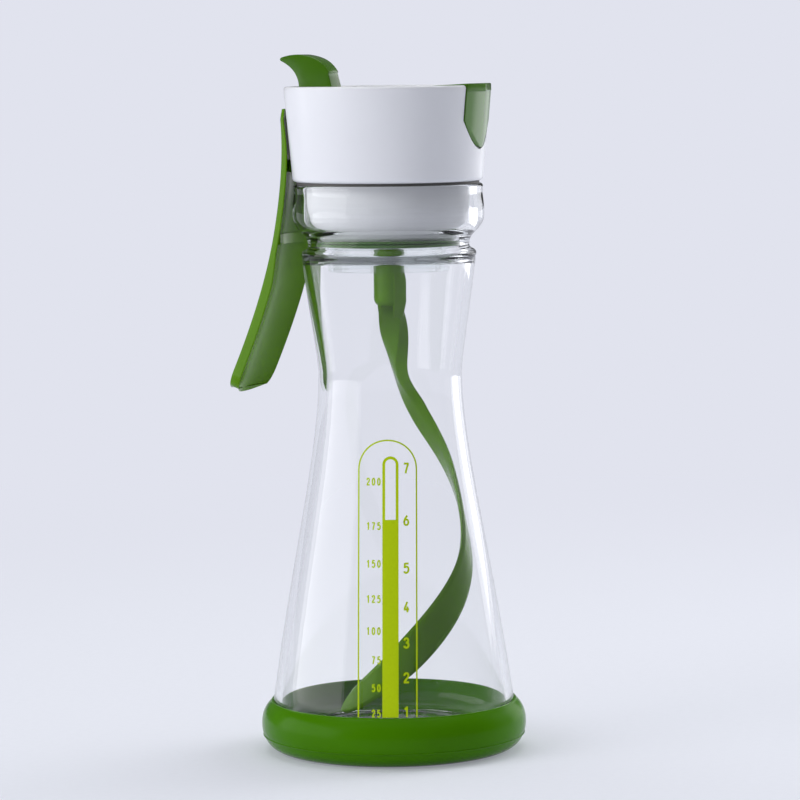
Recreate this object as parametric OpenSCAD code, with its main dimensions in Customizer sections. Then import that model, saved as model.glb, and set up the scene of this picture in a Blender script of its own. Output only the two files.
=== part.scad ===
// Salad dressing shaker bottle with a squeeze trigger that spins a mixing blade.
// Millimetres. +Z is up. The origin is on the bottle's axis, in the plane of its foot.
// The spout is toward +X and the trigger toward -X.

/* [Bottle] */
// Height of the mouth's lip above the foot plane
lip_z = 171; // [168:0.5:176]
// Outer radius of the body where it leaves the boot
body_r = 36.4; // [34.4:0.1:37.6]
// Outer radius at the waist
waist_r = 21.6; // [21.2:0.1:22.6]
// Height of the waist above the foot plane
waist_z = 114.2; // [110:0.2:118]
// Wall of the body
wall_t = 2.4; // [2:0.1:2.6]
// Thickness of the bottle's floor
floor_t = 4.6; // [3.4:0.1:5.4]
// Outer radius of the bead below the neck groove
bead_r = 26.1; // [25.6:0.1:26.8]
// Outer radius at the bottom of the neck groove
groove_r = 23.9; // [23.6:0.1:24.4]
// Outer radius of the collar round the mouth
collar_r = 28.8; // [28.4:0.1:29]
// Inner radius of the mouth
mouth_r = 25; // [24.9:0.05:25.4]
// Inner radius of the throat that the neck gasket seals in
throat_r = 21.6; // [21.3:0.1:21.9]

/* [Boot] */
// Height of the boot's lip
boot_h = 15.3; // [13:0.1:18]
// How far the boot stands out beyond the body, at its widest
boot_bulge = 3.6; // [2.7:0.1:5]
// How far the flat foot lies inside the boot's widest line
foot_inset = 7.5; // [5.5:0.1:10]
// Thickness of the boot under the bottle
boot_floor_t = 2.6; // [2:0.1:3.4]
// Thickness of the boot's lip
boot_lip_t = 0.7; // [0.5:0.1:1.2]

/* [Cap] */
// Outer radius of the cap at its lower edge
cap_low_r = 28.5; // [28.5:0.05:28.8]
// Outer radius of the cap at its top
cap_top_r = 31; // [30.8:0.1:31.4]
// Height of the cap
cap_h = 28.5; // [28.4:0.1:30]
// Wall of the cap
cap_wall = 2.2; // [2:0.05:2.3]
// Height between the bottle's lip and the cap's lower edge
lip_gap = 0.8; // [0.6:0.05:1]
// Depth of the recessed deck below the rim
deck_drop = 4.7; // [4.5:0.1:5]
// Thickness of the deck
deck_t = 1.6; // [1.2:0.1:1.8]

/* [Plug] */
// Thickness of the plug's flange
flange_t = 1.6; // [1.4:0.1:1.8]
// Wall of the plug's bowl
bowl_wall = 2.5; // [2.3:0.1:2.7]
// Radius of the plug's nose inside the neck gasket
nose_r = 18.5; // [18:0.1:19]
// Height of the neck gasket
gasket_h = 2.8; // [2.2:0.1:3]
// Outer radius of the clear skirt under the plug
skirt_r = 18.2; // [17.8:0.1:18.6]
// Depth of the clear skirt
skirt_h = 5.6; // [4:0.1:7]

/* [Gear train] */
// Tooth module
tooth_m = 0.6; // [0.58:0.01:0.62]
// Teeth of both pinions
pinion_teeth = 8; // [8:1:8]
// Teeth of the large gear
gear_teeth = 36; // [36:4:36]
// Width of the large gear
gear_t = 2.4; // [1.6:0.1:2.8]
// Backlash cut from each tooth at its pitch line
backlash = 0.24; // [0.16:0.02:0.3]
// Radius of the steel pins
pin_r = 1; // [0.8:0.05:1.1]
// Radius of the drive shaft
shaft_r = 2; // [1.8:0.05:2.2]
// Radius of the drive shaft's upper journal
journal_r = 1.1; // [0.9:0.05:1.15]

/* [Trigger] */
// Distance of the trigger's pivot from the bottle's axis
pivot_out = 23; // [22.8:0.05:23.1]
// Height of the lever arm's tip above the pivot
arm_h = 12; // [11.8:0.1:12.2]
// Half the width of the trigger's plate
trigger_half_w = 13.4; // [11:0.1:13.8]
// How far the plate's middle bulges beyond its side rims
trigger_bulge = 3; // [2.8:0.1:3.6]
// Swing of the trigger from rest to its stop
trigger_swing = 10; // [6:0.5:10]
// Drop of the trigger's lower end below the pivot
trigger_drop = 66; // [55:0.5:72]
// How far the trigger's lower end flares out beyond the bottle's axis
trigger_reach = 47.5; // [42:0.5:52]

/* [Pour lever] */
// Distance of the lever's pin behind the bottle's axis
lever_out = 12; // [11:0.2:13]
// Half the width of the thumb horn
horn_half_w = 4; // [3.6:0.1:4.7]
// Height of the horn above the cap's rim
horn_h = 9.6; // [8.4:0.1:11]
// Half the width of the spout flap
flap_half_w = 10.4; // [9.4:0.1:11]
// Length of the flap's tongue below the cap's rim
tongue_h = 18.4; // [15:0.1:20]
// Swing of the lever from closed to open
lever_swing = 11; // [8:0.5:11]
// Distance of the pour duct in front of the bottle's axis
duct_out = 12; // [11.8:0.05:12.2]
// Radius of the pour duct's bore
duct_r = 3.5; // [3.1:0.05:3.6]

/* [Blade] */
// Radius of the blade's hub
hub_r = 4.65; // [4.2:0.05:5]
// Length of the hub
hub_h = 16; // [14:0.5:18]
// Share of the room inside the body that the blade's middle line takes
blade_reach = 0.93; // [0.8:0.01:0.95]
// Half the width of the blade
blade_half_w = 5; // [4:0.1:5.2]
// Height of the lengthwise ridge over the upper blade
blade_ridge = 1.6; // [0.8:0.1:2]
// Thickness of the blade
blade_t = 1.8; // [1.4:0.1:2]
// Height of the blade's lowest middle point above the bottle's floor
blade_low = 6.8; // [6.4:0.1:9]
// Travel of the head as it is lifted out of the throat
lift = 5; // [3.6:0.1:5]

/* [Hidden] */
$fn = 96;

// Clearances
run_gap = 0.05;
fit_gap = 0.01;
soft_gap = 0.06;
move_gap = 0.3;
cut = 1;

// Radii that follow the body
boot_r = body_r + boot_bulge;
foot_r = boot_r - foot_inset;

// Heights of the bottle's stages
seat_z = boot_floor_t;
floor_z = seat_z + floor_t;
groove_z = lip_z - 17.7;
bead_z = groove_z - 4;
collar_z = lip_z - 8.8;
throat_top_z = lip_z - 15;
throat_low_z = lip_z - 20;
inner_bulge_z = lip_z - 24;

// Heights of the head's stages
cap_z = lip_z + lip_gap;
cap_top_z = cap_z + cap_h;
flange_top_z = cap_z + flange_t;
plate_t = 2;
plate_z = flange_top_z;
plate_top_z = plate_z + plate_t;
deck_z = cap_top_z - deck_drop;
deck_low_z = deck_z - deck_t;
gear_z = plate_top_z + 1.4;
gear_top_z = gear_z + gear_t;
bowl_floor_t = 2.4;
nose_top_z = throat_top_z - 0.5;
nose_low_z = nose_top_z - gasket_h - 0.3;
guide_t = 1.6;
guide_z = nose_low_z - guide_t;
hub_top_z = guide_z - 0.4;
hub_z = hub_top_z - hub_h;

// Curves
function bez(a, b, c, d, n = 10) = [for (i = [0:n]) let (t = i / n)
  pow(1 - t, 3) * a + 3 * t * pow(1 - t, 2) * b + 3 * t * t * (1 - t) * c + pow(t, 3) * d];
function but_first(v) = [for (i = [1:len(v) - 1]) v[i]];
function backwards(v) = [for (i = [len(v) - 1:-1:0]) v[i]];
function ramp(x, lo, hi) = let (t = min(1, max(0, (x - lo) / (hi - lo)))) t * t * (3 - 2 * t);

// Outline of the bottle, as points of radius and height
body_slope = 0.141;
low_reach = 45;
high_reach = 22.6;
throat_reach = 0.12;
base_corner = 5.5;
function side(r_low, r_waist) = bez([r_low, boot_h], [r_low - body_slope * low_reach, boot_h + low_reach],
  [r_waist, waist_z - high_reach], [r_waist, waist_z], 22);
function throat_side(r_waist, r_top, z_top) = bez([r_waist, waist_z],
  [r_waist, waist_z + throat_reach * (z_top - waist_z)], [r_top - 0.5, waist_z + 0.8 * (z_top - waist_z)],
  [r_top, z_top], 10);

outer_line = concat(
  side(body_r, waist_r),
  but_first(throat_side(waist_r, bead_r, bead_z)),
  but_first(bez([bead_r, bead_z], [bead_r + 0.35, bead_z + 0.8], [bead_r + 0.25, bead_z + 1.6],
    [bead_r - 0.7, bead_z + 2.1], 5)),
  but_first(bez([bead_r - 0.7, bead_z + 2.1], [groove_r, bead_z + 2.6], [groove_r - 0.15, groove_z],
    [groove_r + 1.3, groove_z + 2.4], 7)),
  but_first(bez([groove_r + 1.3, groove_z + 2.4], [collar_r - 1.2, groove_z + 4.6],
    [collar_r, collar_z - 3], [collar_r, collar_z], 8)),
  but_first(bez([collar_r, collar_z], [collar_r, collar_z + 4], [collar_r - 0.7, lip_z - 3.4],
    [collar_r - 0.35, lip_z - 1.2], 6)),
  but_first(bez([collar_r - 0.35, lip_z - 1.2], [collar_r - 0.25, lip_z - 0.5], [collar_r - 0.6, lip_z],
    [collar_r - 1.2, lip_z], 4)));

inner_waist_r = waist_r - wall_t;
inner_line = concat(
  side(body_r - wall_t, inner_waist_r),
  but_first(throat_side(inner_waist_r, bead_r - wall_t - 0.4, inner_bulge_z)),
  but_first(bez([bead_r - wall_t - 0.4, inner_bulge_z], [bead_r - wall_t - 0.2, inner_bulge_z + 1.6],
    [throat_r, throat_low_z - 1.4], [throat_r, throat_low_z], 6)),
  but_first(bez([throat_r, throat_top_z], [throat_r, throat_top_z + 2.2], [mouth_r, throat_top_z + 2],
    [mouth_r, throat_top_z + 5], 8)),
  [[mouth_r, lip_z - 0.7], [mouth_r + 0.6, lip_z]]);

heights_to_radii = [for (p = inner_line) [p[1], p[0]]];
function inner_at(z) = lookup(z, heights_to_radii);

module bottle() {
  punt_r = body_r - 12;
  color([0.86, 0.92, 0.93, 0.35])
  rotate_extrude()
  polygon(concat(
    [[0, seat_z + 0.9], [punt_r, seat_z + 0.9], [punt_r + 1.2, seat_z]],
    bez([body_r - base_corner, seat_z], [body_r - 2, seat_z], [body_r, seat_z + 2.2],
      [body_r, seat_z + base_corner], 8),
    outer_line,
    backwards(inner_line),
    bez([body_r - wall_t, floor_z + base_corner], [body_r - wall_t, floor_z + 2],
      [body_r - wall_t - 2, floor_z], [body_r - wall_t - base_corner, floor_z], 8),
    [[0, floor_z]]));
}

module base_boot() {
  part_z = boot_h * 0.32;
  wide_z = boot_h * 0.55;
  lip_r = body_r + soft_gap;
  color([0.25, 0.47, 0.03])
  rotate_extrude()
  polygon(concat(
    [[0, 0], [foot_r, 0]],
    but_first(bez([foot_r, 0], [foot_r + 4, 0.4], [boot_r - 1.6, 2.4], [boot_r - 0.45, part_z], 8)),
    bez([boot_r - 0.25, part_z], [boot_r - 0.1, part_z + 1], [boot_r, wide_z - 1.5], [boot_r, wide_z], 4),
    but_first(bez([boot_r, wide_z], [boot_r, wide_z + 3.6], [lip_r + boot_lip_t + 1.2, boot_h - 1.4],
      [lip_r + boot_lip_t, boot_h - 0.3], 8)),
    [[lip_r + boot_lip_t - 0.3, boot_h], [lip_r, boot_h]],
    backwards(bez([body_r - base_corner, seat_z], [body_r - 2 + soft_gap, seat_z],
      [lip_r, seat_z + 2.2], [lip_r, seat_z + base_corner], 8)),
    [[0, seat_z]]));
}

// Cap
function cap_r(z) = cap_low_r + (cap_top_r - cap_low_r) * (z - cap_z) / cap_h;
cap_tilt = atan2(cap_top_r - cap_low_r, cap_h);
ledge_w = 1.4;
slot_half_w = 5.4;
tongue_straight = 0.56;
recess_t = 1.3;
tongue_gap = 0.3;
flap_t = 2.5;
flap_z = cap_top_z + 0.5 - flap_t;

// Outline of the tongue: straight sides, then a parabola to its tip
bend_z = cap_top_z - tongue_h * tongue_straight;
function tongue_outline(half_w, z_tip, z_top) = concat([[-half_w, z_top]],
  [for (i = [0:16]) let (y = half_w * (i / 8 - 1)) [y, z_tip + (bend_z - z_tip) * pow(y / half_w, 2)]],
  [[half_w, z_top]]);

module along_x(x0, x1) {
  translate([x0, 0, 0])
  rotate([90, 0, 90])
  linear_extrude(x1 - x0)
  children();
}

module along_y(y0, y1) {
  translate([0, y1, 0])
  rotate([90, 0, 0])
  linear_extrude(y1 - y0)
  children();
}

module cone_ring(z0, z1, inset) {
  translate([0, 0, z0])
  cylinder(h = z1 - z0, r1 = cap_r(z0) - inset, r2 = cap_r(z1) - inset);
}

module cap_shell() {
  round_low = 1.3;
  round_top = 1.1;
  ledge_z = deck_low_z - ledge_w;
  color([0.93, 0.94, 0.95])
  difference() {
    rotate_extrude()
    polygon(concat(
      bez([cap_low_r - round_low - 0.3, cap_z], [cap_low_r - 0.4, cap_z], [cap_r(cap_z + 0.5), cap_z + 0.5],
        [cap_r(cap_z + round_low), cap_z + round_low], 5),
      bez([cap_r(cap_top_z - round_top), cap_top_z - round_top], [cap_top_r, cap_top_z - 0.3],
        [cap_top_r - 0.4, cap_top_z], [cap_top_r - 1, cap_top_z], 5),
      [[cap_r(cap_top_z) - cap_wall + 0.3, cap_top_z], [cap_r(cap_top_z) - cap_wall, cap_top_z - 0.3],
       [cap_r(deck_low_z) - cap_wall, deck_low_z], [cap_r(deck_low_z) - cap_wall - ledge_w, deck_low_z],
       [cap_r(ledge_z) - cap_wall, ledge_z - ledge_w], [cap_low_r - cap_wall, cap_z]]));
    recess_cut();
    notch_cut();
    trigger_slot();
    well_passage();
  }
}

module recess_cut() {
  z_tip = cap_top_z - tongue_h - tongue_gap - 0.2;
  difference() {
    along_x(cap_low_r * 0.7, cap_top_r + cut * 2)
    polygon(tongue_outline(flap_half_w + tongue_gap, z_tip, cap_top_z + cut));
    cone_ring(z_tip - cut, cap_top_z + cut * 2, recess_t);
  }
}

module notch_cut() {
  translate([cap_low_r * 0.7, -flap_half_w - tongue_gap, flap_z - tongue_gap])
  cube([cap_top_r, 2 * (flap_half_w + tongue_gap), flap_t + cut * 2]);
}

module trigger_slot() {
  translate([-cap_top_r - cut, -slot_half_w, cap_z - cut])
  cube([cap_wall * 3, 2 * slot_half_w, pivot_z + lug_up + 1 - cap_z + cut]);
}

module well_passage() {
  half_w = well_half_w + well_wall + move_gap;
  z0 = well_floor_z - well_wall - move_gap;
  translate([-cap_top_r + cap_wall, -half_w, z0])
  cube([6, 2 * half_w, deck_low_z + move_gap - z0]);
}

// Pour lever's place
lever_z = deck_z + 2.2;
lever_boss_r = 2.2;
arm_z = deck_z + 1;
arm_t = 2.4;
arm_half_w = horn_half_w - 0.5;
well_half_w = horn_half_w + move_gap;
well_wall = 1.2;
horn_back = 27;
horn_sink = (horn_back - lever_out) * sin(lever_swing);
well_floor_z = arm_z - horn_sink - 0.6;
well_back = cap_r(deck_low_z) - cap_wall - 0.7;
well_front = lever_out - lever_boss_r - 0.6;
ear_t = 2;

module cap_deck() {
  deck_r = cap_r(deck_low_z) - cap_wall - fit_gap * 5;
  boss_r = 2.6;
  color([0.9, 0.91, 0.92])
  difference() {
    union() {
      translate([0, 0, deck_low_z])
      cylinder(h = deck_t, r = deck_r);
      well_block(deck_r - fit_gap);
      for (s = [-1, 1]) lever_ear(s);
      translate([gear_x, gear_y, rack_z + rack_t + 0.5])
      cylinder(h = deck_z - rack_z - rack_t - 0.5, r = boss_r);
      translate([0, 0, pinion_top_z + 0.6])
      cylinder(h = deck_z - pinion_top_z - 0.6, r = boss_r);
    }
    well_cut();
    for (s = [-1, 1]) translate([-lever_out, s * (well_half_w - cut), lever_z])
      rotate([-90 * s, 0, 0])
      cylinder(h = ear_t + 2 * cut, r = pin_r + fit_gap);
    translate([duct_out, 0, deck_low_z - cut])
    cylinder(h = deck_t + 2 * cut, r = duct_r + duct_wall + fit_gap);
    translate([gear_x, gear_y, rack_z + rack_t - cut])
    cylinder(h = axle_top_z - rack_z - rack_t + cut, r = pin_r + fit_gap);
    translate([0, 0, pinion_top_z])
    cylinder(h = shaft_top_z + 0.4 - pinion_top_z, r = journal_r + run_gap);
  }
}

module well_block(r) {
  h = deck_z - well_floor_z + well_wall;
  translate([0, 0, well_floor_z - well_wall])
  intersection() {
    translate([-well_back - well_wall, -well_half_w - well_wall, 0])
    cube([well_back - well_front + 2 * well_wall, 2 * (well_half_w + well_wall), h]);
    cylinder(h = h, r = r);
  }
}

module well_cut() {
  intersection() {
    translate([-well_back, -well_half_w, well_floor_z])
    cube([well_back - well_front, 2 * well_half_w, deck_z - well_floor_z + 6]);
    translate([0, 0, well_floor_z])
    cylinder(h = deck_z - well_floor_z + 6, r = cap_r(deck_low_z) - cap_wall - 0.6);
  }
}

module lever_ear(s) {
  translate([0, s > 0 ? well_half_w : -well_half_w - ear_t, 0])
  along_y(0, ear_t)
  union() {
    translate([-lever_out - 2.4, deck_low_z])
    square([4.8, lever_z - deck_low_z]);
    translate([-lever_out, lever_z])
    circle(r = 2.4);
  }
}

// Plug
bowl_r = mouth_r - 0.5;
tube_r = 5.4;
tube_bore_r = 3.4;
tube_top_z = cap_z - 5.3;
screw_ring_r = bowl_r - bowl_wall / 2;
screw_r = 0.8;
screw_angles = [40, 140, 220, 320];
bowl_curve_z = cap_z - 6;

module plug_bowl() {
  color([0.93, 0.94, 0.95])
  difference() {
    union() {
      rotate_extrude()
      polygon(concat(
        [[0, nose_low_z], [nose_r, nose_low_z], [nose_r, nose_top_z]],
        but_first(bez([nose_r, nose_top_z], [nose_r + 2.4, nose_top_z + 1.4], [bowl_r, bowl_curve_z - 5],
          [bowl_r, bowl_curve_z], 10)),
        [[bowl_r, cap_z], [cap_low_r - cap_wall - run_gap, cap_z],
         [cap_low_r - cap_wall - run_gap, flange_top_z], [bowl_r - bowl_wall, flange_top_z],
         [bowl_r - bowl_wall, bowl_curve_z]],
        but_first(bez([bowl_r - bowl_wall, bowl_curve_z], [bowl_r - bowl_wall, bowl_curve_z - 3.4],
          [nose_r + 0.8, nose_top_z + bowl_floor_t], [nose_r - 1.6, nose_top_z + bowl_floor_t], 8)),
        [[0, nose_top_z + bowl_floor_t]]));
      translate([0, 0, nose_low_z])
      cylinder(h = tube_top_z - nose_low_z, r = tube_r);
    }
    translate([0, 0, nose_low_z - cut])
    cylinder(h = tube_top_z - nose_low_z + 2 * cut, r = tube_bore_r + fit_gap);
    translate([duct_out, 0, nose_low_z - cut])
    cylinder(h = nose_top_z - nose_low_z + bowl_floor_t + 2 * cut, r = duct_r);
    for (a = screw_angles) rotate([0, 0, a])
      translate([screw_ring_r, 0, flange_top_z - screw_len])
      cylinder(h = screw_len + cut, r = screw_r + fit_gap);
    trigger_notch(flange_top_z - flange_t - cut, flange_t + 2 * cut);
  }
}

module trigger_notch(z, h) {
  translate([-cap_top_r, -slot_half_w - 0.4, z])
  cube([cap_top_r - pivot_out + notch_reach, 2 * (slot_half_w + 0.4), h]);
}

module neck_gasket() {
  lip_r = throat_r - soft_gap;
  groove_in = nose_r + fit_gap;
  z0 = nose_low_z + 0.05;
  z1 = z0 + gasket_h;
  color([0.13, 0.35, 0.05])
  rotate_extrude()
  polygon([[groove_in, z0], [lip_r - 1, z0], [lip_r, z0 + 0.8], [lip_r, z0 + 1.2], [lip_r - 0.8, z0 + 1.5],
    [lip_r, z0 + 1.8], [lip_r, z0 + 2], [lip_r - 1.4, z1], [groove_in, z1]]);
}

module lip_gasket() {
  color([0.2, 0.24, 0.2])
  translate([0, 0, lip_z + run_gap])
  difference() {
    cylinder(h = lip_gap - 2 * run_gap, r = collar_r - 1.4);
    translate([0, 0, -cut])
    cylinder(h = lip_gap + 2 * cut, r = bowl_r + fit_gap);
    translate([-cap_top_r, -slot_half_w, lip_gap - 2 * run_gap])
    cube([cap_top_r, 2 * slot_half_w, cut]);
  }
}

module shaft_guide() {
  color([0.86, 0.92, 0.93, 0.5])
  difference() {
    union() {
      translate([0, 0, guide_z])
      cylinder(h = guide_t, r = nose_r + 1.9);
      translate([0, 0, guide_z - skirt_h])
      cylinder(h = skirt_h, r = skirt_r);
    }
    translate([0, 0, guide_z - skirt_h - cut])
    cylinder(h = skirt_h + cut, r = skirt_r - 1.5);
    translate([0, 0, guide_z - cut])
    cylinder(h = guide_t + 2 * cut, r = shaft_r + run_gap);
    translate([duct_out, 0, guide_z - cut])
    cylinder(h = guide_t + 2 * cut, r = duct_r);
  }
}

module ring(z, h, r_out, r_in) {
  translate([0, 0, z])
  difference() {
    cylinder(h = h, r = r_out);
    translate([0, 0, -cut])
    cylinder(h = h + 2 * cut, r = r_in);
  }
}

bush_h = 6.5;
seal_h = 2;
seal_z = nose_low_z + bush_h + 0.2;
clip_z = seal_z + seal_h + 0.4;
clip_t = 0.7;
clip_depth = 0.4;

module shaft_bush() {
  color([0.95, 0.93, 0.85])
  ring(nose_low_z, bush_h, tube_bore_r, shaft_r + run_gap);
}

module shaft_seal() {
  color([0.15, 0.16, 0.15])
  ring(seal_z, seal_h, tube_bore_r, shaft_r + run_gap);
}

module shaft_clip() {
  color([0.6, 0.62, 0.65])
  ring(clip_z, clip_t, shaft_r + 1, shaft_r - clip_depth + fit_gap);
}

// Gear train
function pitch_r(teeth) = tooth_m * teeth / 2;
small_r = pitch_r(pinion_teeth);
large_r = pitch_r(gear_teeth);
gear_x = 0;
gear_y = -small_r - large_r;
pinion_z = gear_z - 0.4;
pinion_top_z = gear_top_z + 1.2;
shaft_top_z = pinion_top_z + 2.6;
tooth_up = 0.9 * tooth_m;
tooth_down = 1.25 * tooth_m;

// Half the angle of a tooth at radius r, from the involute of a 20 degree gear
pressure = 20;
function inv_deg(a) = tan(a) * 180 / PI - a;
function tooth_half_deg(teeth, r) =
  let (rp = pitch_r(teeth), rb = rp * cos(pressure), rr = max(r, rb + 0.001))
  (90 / teeth) - (backlash / 2 / rp) * 180 / PI + inv_deg(pressure) - inv_deg(acos(rb / rr));
function polar(r, a) = [r * cos(a), r * sin(a)];

function tooth_points(teeth, a) = let (rp = pitch_r(teeth), r0 = rp - tooth_down, r3 = rp + tooth_up,
    radii = [r0, rp - 0.35 * tooth_m, rp, rp + 0.45 * tooth_m, r3])
  concat([for (r = radii) polar(r, a - max(1.2, tooth_half_deg(teeth, r)))],
    [for (i = [4:-1:0]) polar(radii[i], a + max(1.2, tooth_half_deg(teeth, radii[i])))]);

module gear_shape(teeth, turn) {
  polygon([for (k = [0:teeth - 1]) each tooth_points(teeth, turn + k * 360 / teeth)]);
}

module center_pinion() {
  color([0.9, 0.88, 0.8])
  translate([0, 0, pinion_z])
  difference() {
    linear_extrude(pinion_top_z - pinion_z) gear_shape(pinion_teeth, 180 / pinion_teeth);
    translate([0, 0, -cut])
    cylinder(h = pinion_top_z - pinion_z + 2 * cut, r = journal_r + fit_gap);
  }
}

// Rack, pushed by the tip of the trigger's arm
pivot_z = plate_top_z + 1;
tip_r = 1.7;
tip_in = 4;
tip_x = -pivot_out + tip_in;
tip_z = pivot_z + arm_h;
rack_pitch_y = gear_y + small_r;
rack_t = 4;
rack_w = 3.2;
rack_z = tip_z - 5;
rack_root_y = rack_pitch_y + tooth_down;
yoke_gap = 0.12;
yoke_wall = 1.4;
yoke_half = tip_r + yoke_gap + yoke_wall;
yoke_y = 3.6;
yoke_z = tip_z - 1.4;
yoke_top_z = tip_z + 1.8;
rack_front = large_r + tooth_up + 3.5;
post_t = 2.6;
post_x = rack_front - post_t;
rack_travel = arm_h * sin(trigger_swing) + tip_in * (1 - cos(trigger_swing));
rack_teeth = 3 + ceil(rack_travel / (PI * tooth_m));
axle_top_z = deck_low_z - 0.4;

module compound_gear() {
  color([0.92, 0.92, 0.9])
  translate([gear_x, gear_y, 0])
  difference() {
    union() {
      translate([0, 0, gear_z])
      linear_extrude(gear_t) gear_shape(gear_teeth, 90);
      translate([0, 0, gear_top_z])
      linear_extrude(rack_z + rack_t - gear_top_z) gear_shape(pinion_teeth, 90);
    }
    translate([0, 0, gear_z - cut])
    cylinder(h = rack_z + rack_t - gear_z + 2 * cut, r = pin_r + run_gap);
  }
}

module gear_axle() {
  color([0.7, 0.72, 0.75])
  translate([gear_x, gear_y, plate_z + 0.4])
  cylinder(h = axle_top_z - plate_z - 0.4, r = pin_r);
}

module rack_tooth() {
  half = PI * tooth_m / 4 - backlash / 2;
  foot = half + tooth_down * tan(pressure);
  tip = half - tooth_up * tan(pressure);
  polygon([[-foot, tooth_down + 0.01], [-half, 0], [-tip, -tooth_up],
    [tip, -tooth_up], [half, 0], [foot, tooth_down + 0.01]]);
}

module drive_rack() {
  color([0.9, 0.88, 0.8])
  union() {
    translate([tip_x - yoke_half, rack_root_y, rack_z])
    cube([rack_front - tip_x + yoke_half, rack_w, rack_t]);
    translate([0, 0, rack_z])
    linear_extrude(rack_t)
    for (k = [0:rack_teeth - 1])
      translate([gear_x + (k - 1.5) * PI * tooth_m, rack_pitch_y])
      rack_tooth();
    difference() {
      translate([tip_x - yoke_half, rack_root_y, yoke_z])
      cube([2 * yoke_half, yoke_y - rack_root_y, yoke_top_z - yoke_z]);
      translate([tip_x - tip_r - yoke_gap, -yoke_y, yoke_z - cut])
      cube([2 * (tip_r + yoke_gap), 2 * yoke_y + cut, yoke_top_z - yoke_z + 2 * cut]);
    }
  }
}

// Plate that carries the gear train and the trigger's pivot
notch_reach = 3.2;
pivot_ear_y = slot_half_w + 0.8;
pivot_ear_t = 2;
screw_len = 6;
screw_head_h = 1.3;
screw_head_r = 1.5;

module gear_plate() {
  plate_r = cap_low_r - cap_wall - run_gap;
  color([0.82, 0.83, 0.84])
  difference() {
    union() {
      translate([0, 0, plate_z])
      cylinder(h = plate_t, r = plate_r);
      for (s = [-1, 1]) pivot_ear(s);
      rack_post(post_x);
      rack_post(-post_x - post_t);
      translate([gear_x, gear_y, plate_z])
      cylinder(h = gear_z - 0.2 - plate_z, r = 2.4);
    }
    trigger_notch(plate_z - cut, plate_t + 2 * cut);
    translate([0, 0, plate_z - cut])
    cylinder(h = plate_t + 2 * cut, r = shaft_r + run_gap);
    translate([duct_out, 0, plate_z - cut])
    cylinder(h = plate_t + 2 * cut, r = duct_r + duct_wall + fit_gap);
    translate([gear_x, gear_y, plate_z + 0.4])
    cylinder(h = gear_z, r = pin_r + fit_gap);
    for (a = screw_angles) rotate([0, 0, a])
      translate([screw_ring_r, 0, plate_z - cut])
      cylinder(h = plate_t + 2 * cut, r = screw_r + fit_gap);
    for (s = [-1, 1]) translate([-pivot_out, s * (pivot_ear_y - cut), pivot_z])
      rotate([-90 * s, 0, 0])
      cylinder(h = pivot_ear_t + 2 * cut, r = pin_r + fit_gap);
  }
}

module pivot_ear(s) {
  translate([0, s > 0 ? pivot_ear_y : -pivot_ear_y - pivot_ear_t, 0])
  along_y(0, pivot_ear_t)
  union() {
    translate([-pivot_out - 2, plate_z])
    square([5, pivot_z - plate_z]);
    translate([-pivot_out, pivot_z])
    circle(r = 2.1);
  }
}

module rack_post(x) {
  side_gap = run_gap;
  difference() {
    translate([x, rack_root_y - 0.9, plate_z])
    cube([post_t, rack_w + 1.8, rack_z + rack_t - plate_z]);
    translate([x - cut, rack_root_y - side_gap, rack_z - run_gap])
    cube([post_t + 2 * cut, rack_w + 2 * side_gap, rack_t + cut]);
  }
}

module plate_screws() {
  color([0.7, 0.72, 0.75])
  for (a = screw_angles) rotate([0, 0, a])
    translate([screw_ring_r, 0, 0])
    union() {
      translate([0, 0, flange_top_z - screw_len + 0.3])
      cylinder(h = plate_top_z - flange_top_z + screw_len - 0.3, r = screw_r);
      translate([0, 0, plate_top_z])
      cylinder(h = screw_head_h, r = screw_head_r);
    }
}

duct_wall = 1.2;
duct_z = nose_top_z + bowl_floor_t;

module pour_duct() {
  color([0.93, 0.94, 0.95])
  translate([duct_out, 0, 0])
  ring(duct_z, deck_z - duct_z, duct_r + duct_wall, duct_r);
}

module trigger_pin() {
  color([0.7, 0.72, 0.75])
  translate([-pivot_out, 0, pivot_z])
  rotate([90, 0, 0])
  cylinder(h = 2 * (pivot_ear_y + pivot_ear_t), r = pin_r, center = true);
}

module lever_pin() {
  color([0.7, 0.72, 0.75])
  translate([-lever_out, 0, lever_z])
  rotate([90, 0, 0])
  cylinder(h = 2 * (well_half_w + ear_t), r = pin_r, center = true);
}

// Tube swept along points; each ring is square to the path
function unit(v) = v / norm(v);
function tangent(p, i) = unit(p[min(i + 1, len(p) - 1)] - p[max(i - 1, 0)]);
function tube_ring(c, t, up, r, n) = let (u = unit(cross(t, up)), v = cross(u, t))
  [for (k = [0:n - 1]) c + r * (cos(360 * k / n) * u + sin(360 * k / n) * v)];

module skin(rings) {
  n = len(rings[0]);
  m = len(rings);
  polyhedron(
    points = [for (q = rings) each q],
    faces = concat(
      [for (k = [1:n - 2]) [0, k + 1, k]],
      [for (i = [0:m - 2], k = [0:n - 1]) [i * n + k, i * n + (k + 1) % n, (i + 1) * n + k]],
      [for (i = [0:m - 2], k = [0:n - 1], k2 = (k + 1) % n)
        [(i + 1) * n + k, i * n + k2, (i + 1) * n + k2]],
      [for (k = [1:n - 2]) [(m - 1) * n, (m - 1) * n + k, (m - 1) * n + k + 1]]),
    convexity = 8);
}

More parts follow.
